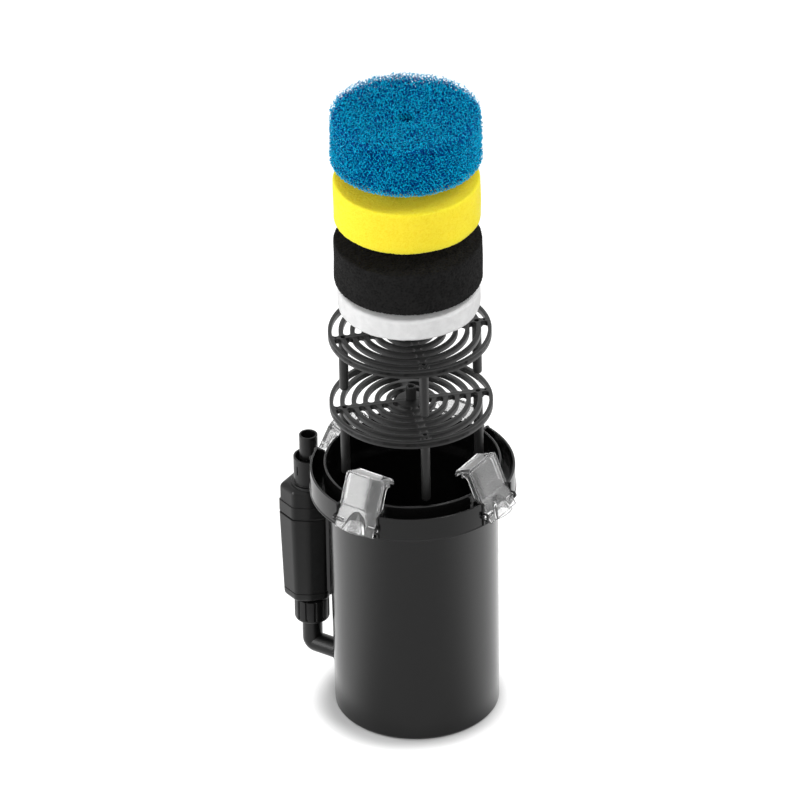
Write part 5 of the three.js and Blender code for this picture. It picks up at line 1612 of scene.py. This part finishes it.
# %% Finish what the CAD model shows itself
FINISH_OF_SLOT = {
    "tub_black": TUB_PLASTIC,
    "pump_black": PUMP_PLASTIC,
    "grid_black": GRID_PLASTIC,
    "black_rubber": RUBBER,
    "resin": RESIN,
    "ferrite": FERRITE,
    "ceramic": CERAMIC,
    "steel": STEEL,
    "clear_plastic": CLEAR,
}
for name, node in frame["nodes"].items():
    if not node.hide_render:
        node.data.materials.clear()
        node.data.materials.append(FINISH_OF_SLOT[slot_of[name]])
        print("kept:", name)

# %% [markdown]
# ## Floor
#
# The page is pure white, with a short tight shadow where the tub stands. A floor bright enough to
# clip to white would throw too much light up at the object. So the floor is pale, and only the
# camera, gloss and clear plastic also see it glow. The glow starts near the tub's foot and is
# full a little way out, so that the lamps' shadow beside the foot stays, with an edge that the
# glow paints. The round spot that doesn't glow is moved a little to the left and the front, where
# the photograph's shadow falls, so its lean is a painted shadow. The tub's wall would mirror the
# glow in front of it as a grey veil, so gloss sees only a small share of it there, which paints a
# dark middle into the tub's reflection.

# %% What sees the glow
def seen_directly(nodes, gloss=1.0):
    """1 for what the camera and clear plastic see, and 0 for light that falls on a surface.

    Gloss sees 1 as well, or the share it is given.
    """
    path = nodes.tree.nodes.new("ShaderNodeLightPath").outputs
    seen, shiny, clear = (
        Wire(nodes, path[f"Is {kind} Ray"]) for kind in ("Camera", "Glossy", "Transmission"))
    for ray in (shiny * gloss, clear):
        seen = nodes.maths("MAXIMUM", seen, ray)
    return seen


print("rays that see the glow: camera, gloss and transmission")

# %% The floor
FLOOR_RADIUS, FLOOR_GREY = 6.0, 0.55
GLOW, GLOW_STARTS, GLOW_FULL = 0.75, 72 * MM, 104 * MM
# The spot's size and lean are a painted shadow; only inside it does the lamps' shadow on the grey
# floor show.
SHADOW_ASIDE, SHADOW_AHEAD = 7 * MM, 6 * MM  # how far the shadow leans left and to the front
# Less glow for gloss in front of the tub paints a dark middle into its reflection.
GLOSS_AHEAD = 0.1  # share of the glow that gloss sees between the tub and the camera
FACING_FULL, FACING_NONE = 0.95, 0.1  # cosines between which that share fades


def floor():
    mesh = bpy.data.meshes.new("floor")
    shape = bmesh.new()
    bmesh.ops.create_circle(shape, cap_ends=True, segments=96, radius=FLOOR_RADIUS)
    shape.to_mesh(mesh)
    piece = in_scene("floor", mesh)
    made = Finish("floor", Roughness=0.9, Base_Color=grey(FLOOR_GREY), Specular_IOR_Level=0.0,
                  Emission_Strength=1)
    place = made.node("ShaderNodeTexCoord", output="Object")
    shadow = made.vector("SUBTRACT", place, -RIGHT * SHADOW_ASIDE - AHEAD * SHADOW_AHEAD)
    far_out = made.vector("LENGTH", shadow, output=1)
    glow = made.ramp(far_out, GLOW_STARTS, GLOW_FULL, 0.0, GLOW, smooth=True)
    facing = made.vector("DOT_PRODUCT", place, -AHEAD, output=1)
    gloss = made.ramp(facing / far_out, FACING_FULL, FACING_NONE, GLOSS_AHEAD, 1.0, smooth=True)
    seen = seen_directly(made, gloss)
    mesh.materials.append(made.shade(Emission_Color=made.blend(glow * seen, grey(0), grey(1))))
    return piece


print("floor's size in metres:", tuple(floor().dimensions))

# %% [markdown]
# ## World
#
# The studio is white all round. A white world would flood the object with light, so it lights the
# object at about a third, and only what looks at it directly sees it at full strength. That way
# glossy plastic mirrors a white room while its own dark colour stays dark.

# %% The world
WORLD_LIGHT = 0.36  # how strongly the white room lights the object


def studio_world():
    world = bpy.data.worlds.new("studio")
    bpy.context.scene.world = world
    world.use_nodes = True
    nodes = Nodes(world.node_tree)
    background = nodes.tree.nodes["Background"]
    strength = nodes.ramp(seen_directly(nodes), 0.0, 1.0, WORLD_LIGHT, 1.0)
    nodes.feed(background.inputs["Strength"], strength)
    nodes.feed(background.inputs["Color"], grey(1))


studio_world()
bpy.context.scene.view_settings.view_transform = "Standard"
print("world light:", WORLD_LIGHT)

# %% [markdown]
# ## Lamps
#
# Three soft lamps make the highlights. A tall one at the left is mirrored by the left clip's
# plate and the tub's side, a narrow one at the right draws a thin bright edge, and a small one
# high up lights the rims. Three wide lamps without gloss fill in the rest: two from behind the
# sides, which make the pads' sides brighter than the front, and one from the front. One big dome
# of light could replace all six, but then the black plastic would have no dark middle.

# %% Soft lamps
LAMP_AIM = Vector((0, 0, 0.3))


def from_camera(aside, up, towards):
    """A direction counted from the camera: to its right, up, and back towards it."""
    return RIGHT * aside + Vector((0, 0, up)) - AHEAD * towards


def softbox(name, direction, distance, size, watts, gloss=True):
    """A flat lamp that looks at the middle of the object from a direction."""
    data = bpy.data.lights.new(name, "AREA")
    data.shape = "RECTANGLE"
    data.size, data.size_y = size
    data.energy = watts
    lamp = in_scene(name, data)
    lamp.visible_glossy = gloss
    lamp.location = LAMP_AIM + direction.normalized() * distance
    lamp.rotation_euler = (LAMP_AIM - lamp.location).to_track_quat("-Z", "Y").to_euler()
    return lamp


softbox("left_lamp", from_camera(-0.91, 0.15, 0.365), 1.6, (0.5, 0.9), 9)
softbox("right_lamp", from_camera(0.98, 0.05, -0.16), 1.6, (0.3, 0.9), 0.9)
softbox("rim_lamp", from_camera(0.45, 0.95, 0.35), 1.6, (0.3, 0.3), 5)
softbox("left_fill", from_camera(-1.0, 0.4, -0.25), 1.8, (0.9, 0.9), 16, gloss=False)
softbox("right_fill", from_camera(1.0, 0.4, -0.25), 1.8, (0.9, 0.9), 13, gloss=False)
softbox("front_fill", from_camera(-0.05, 0.68, 1.0), 2.0, (1.0, 0.8), 19, gloss=False)
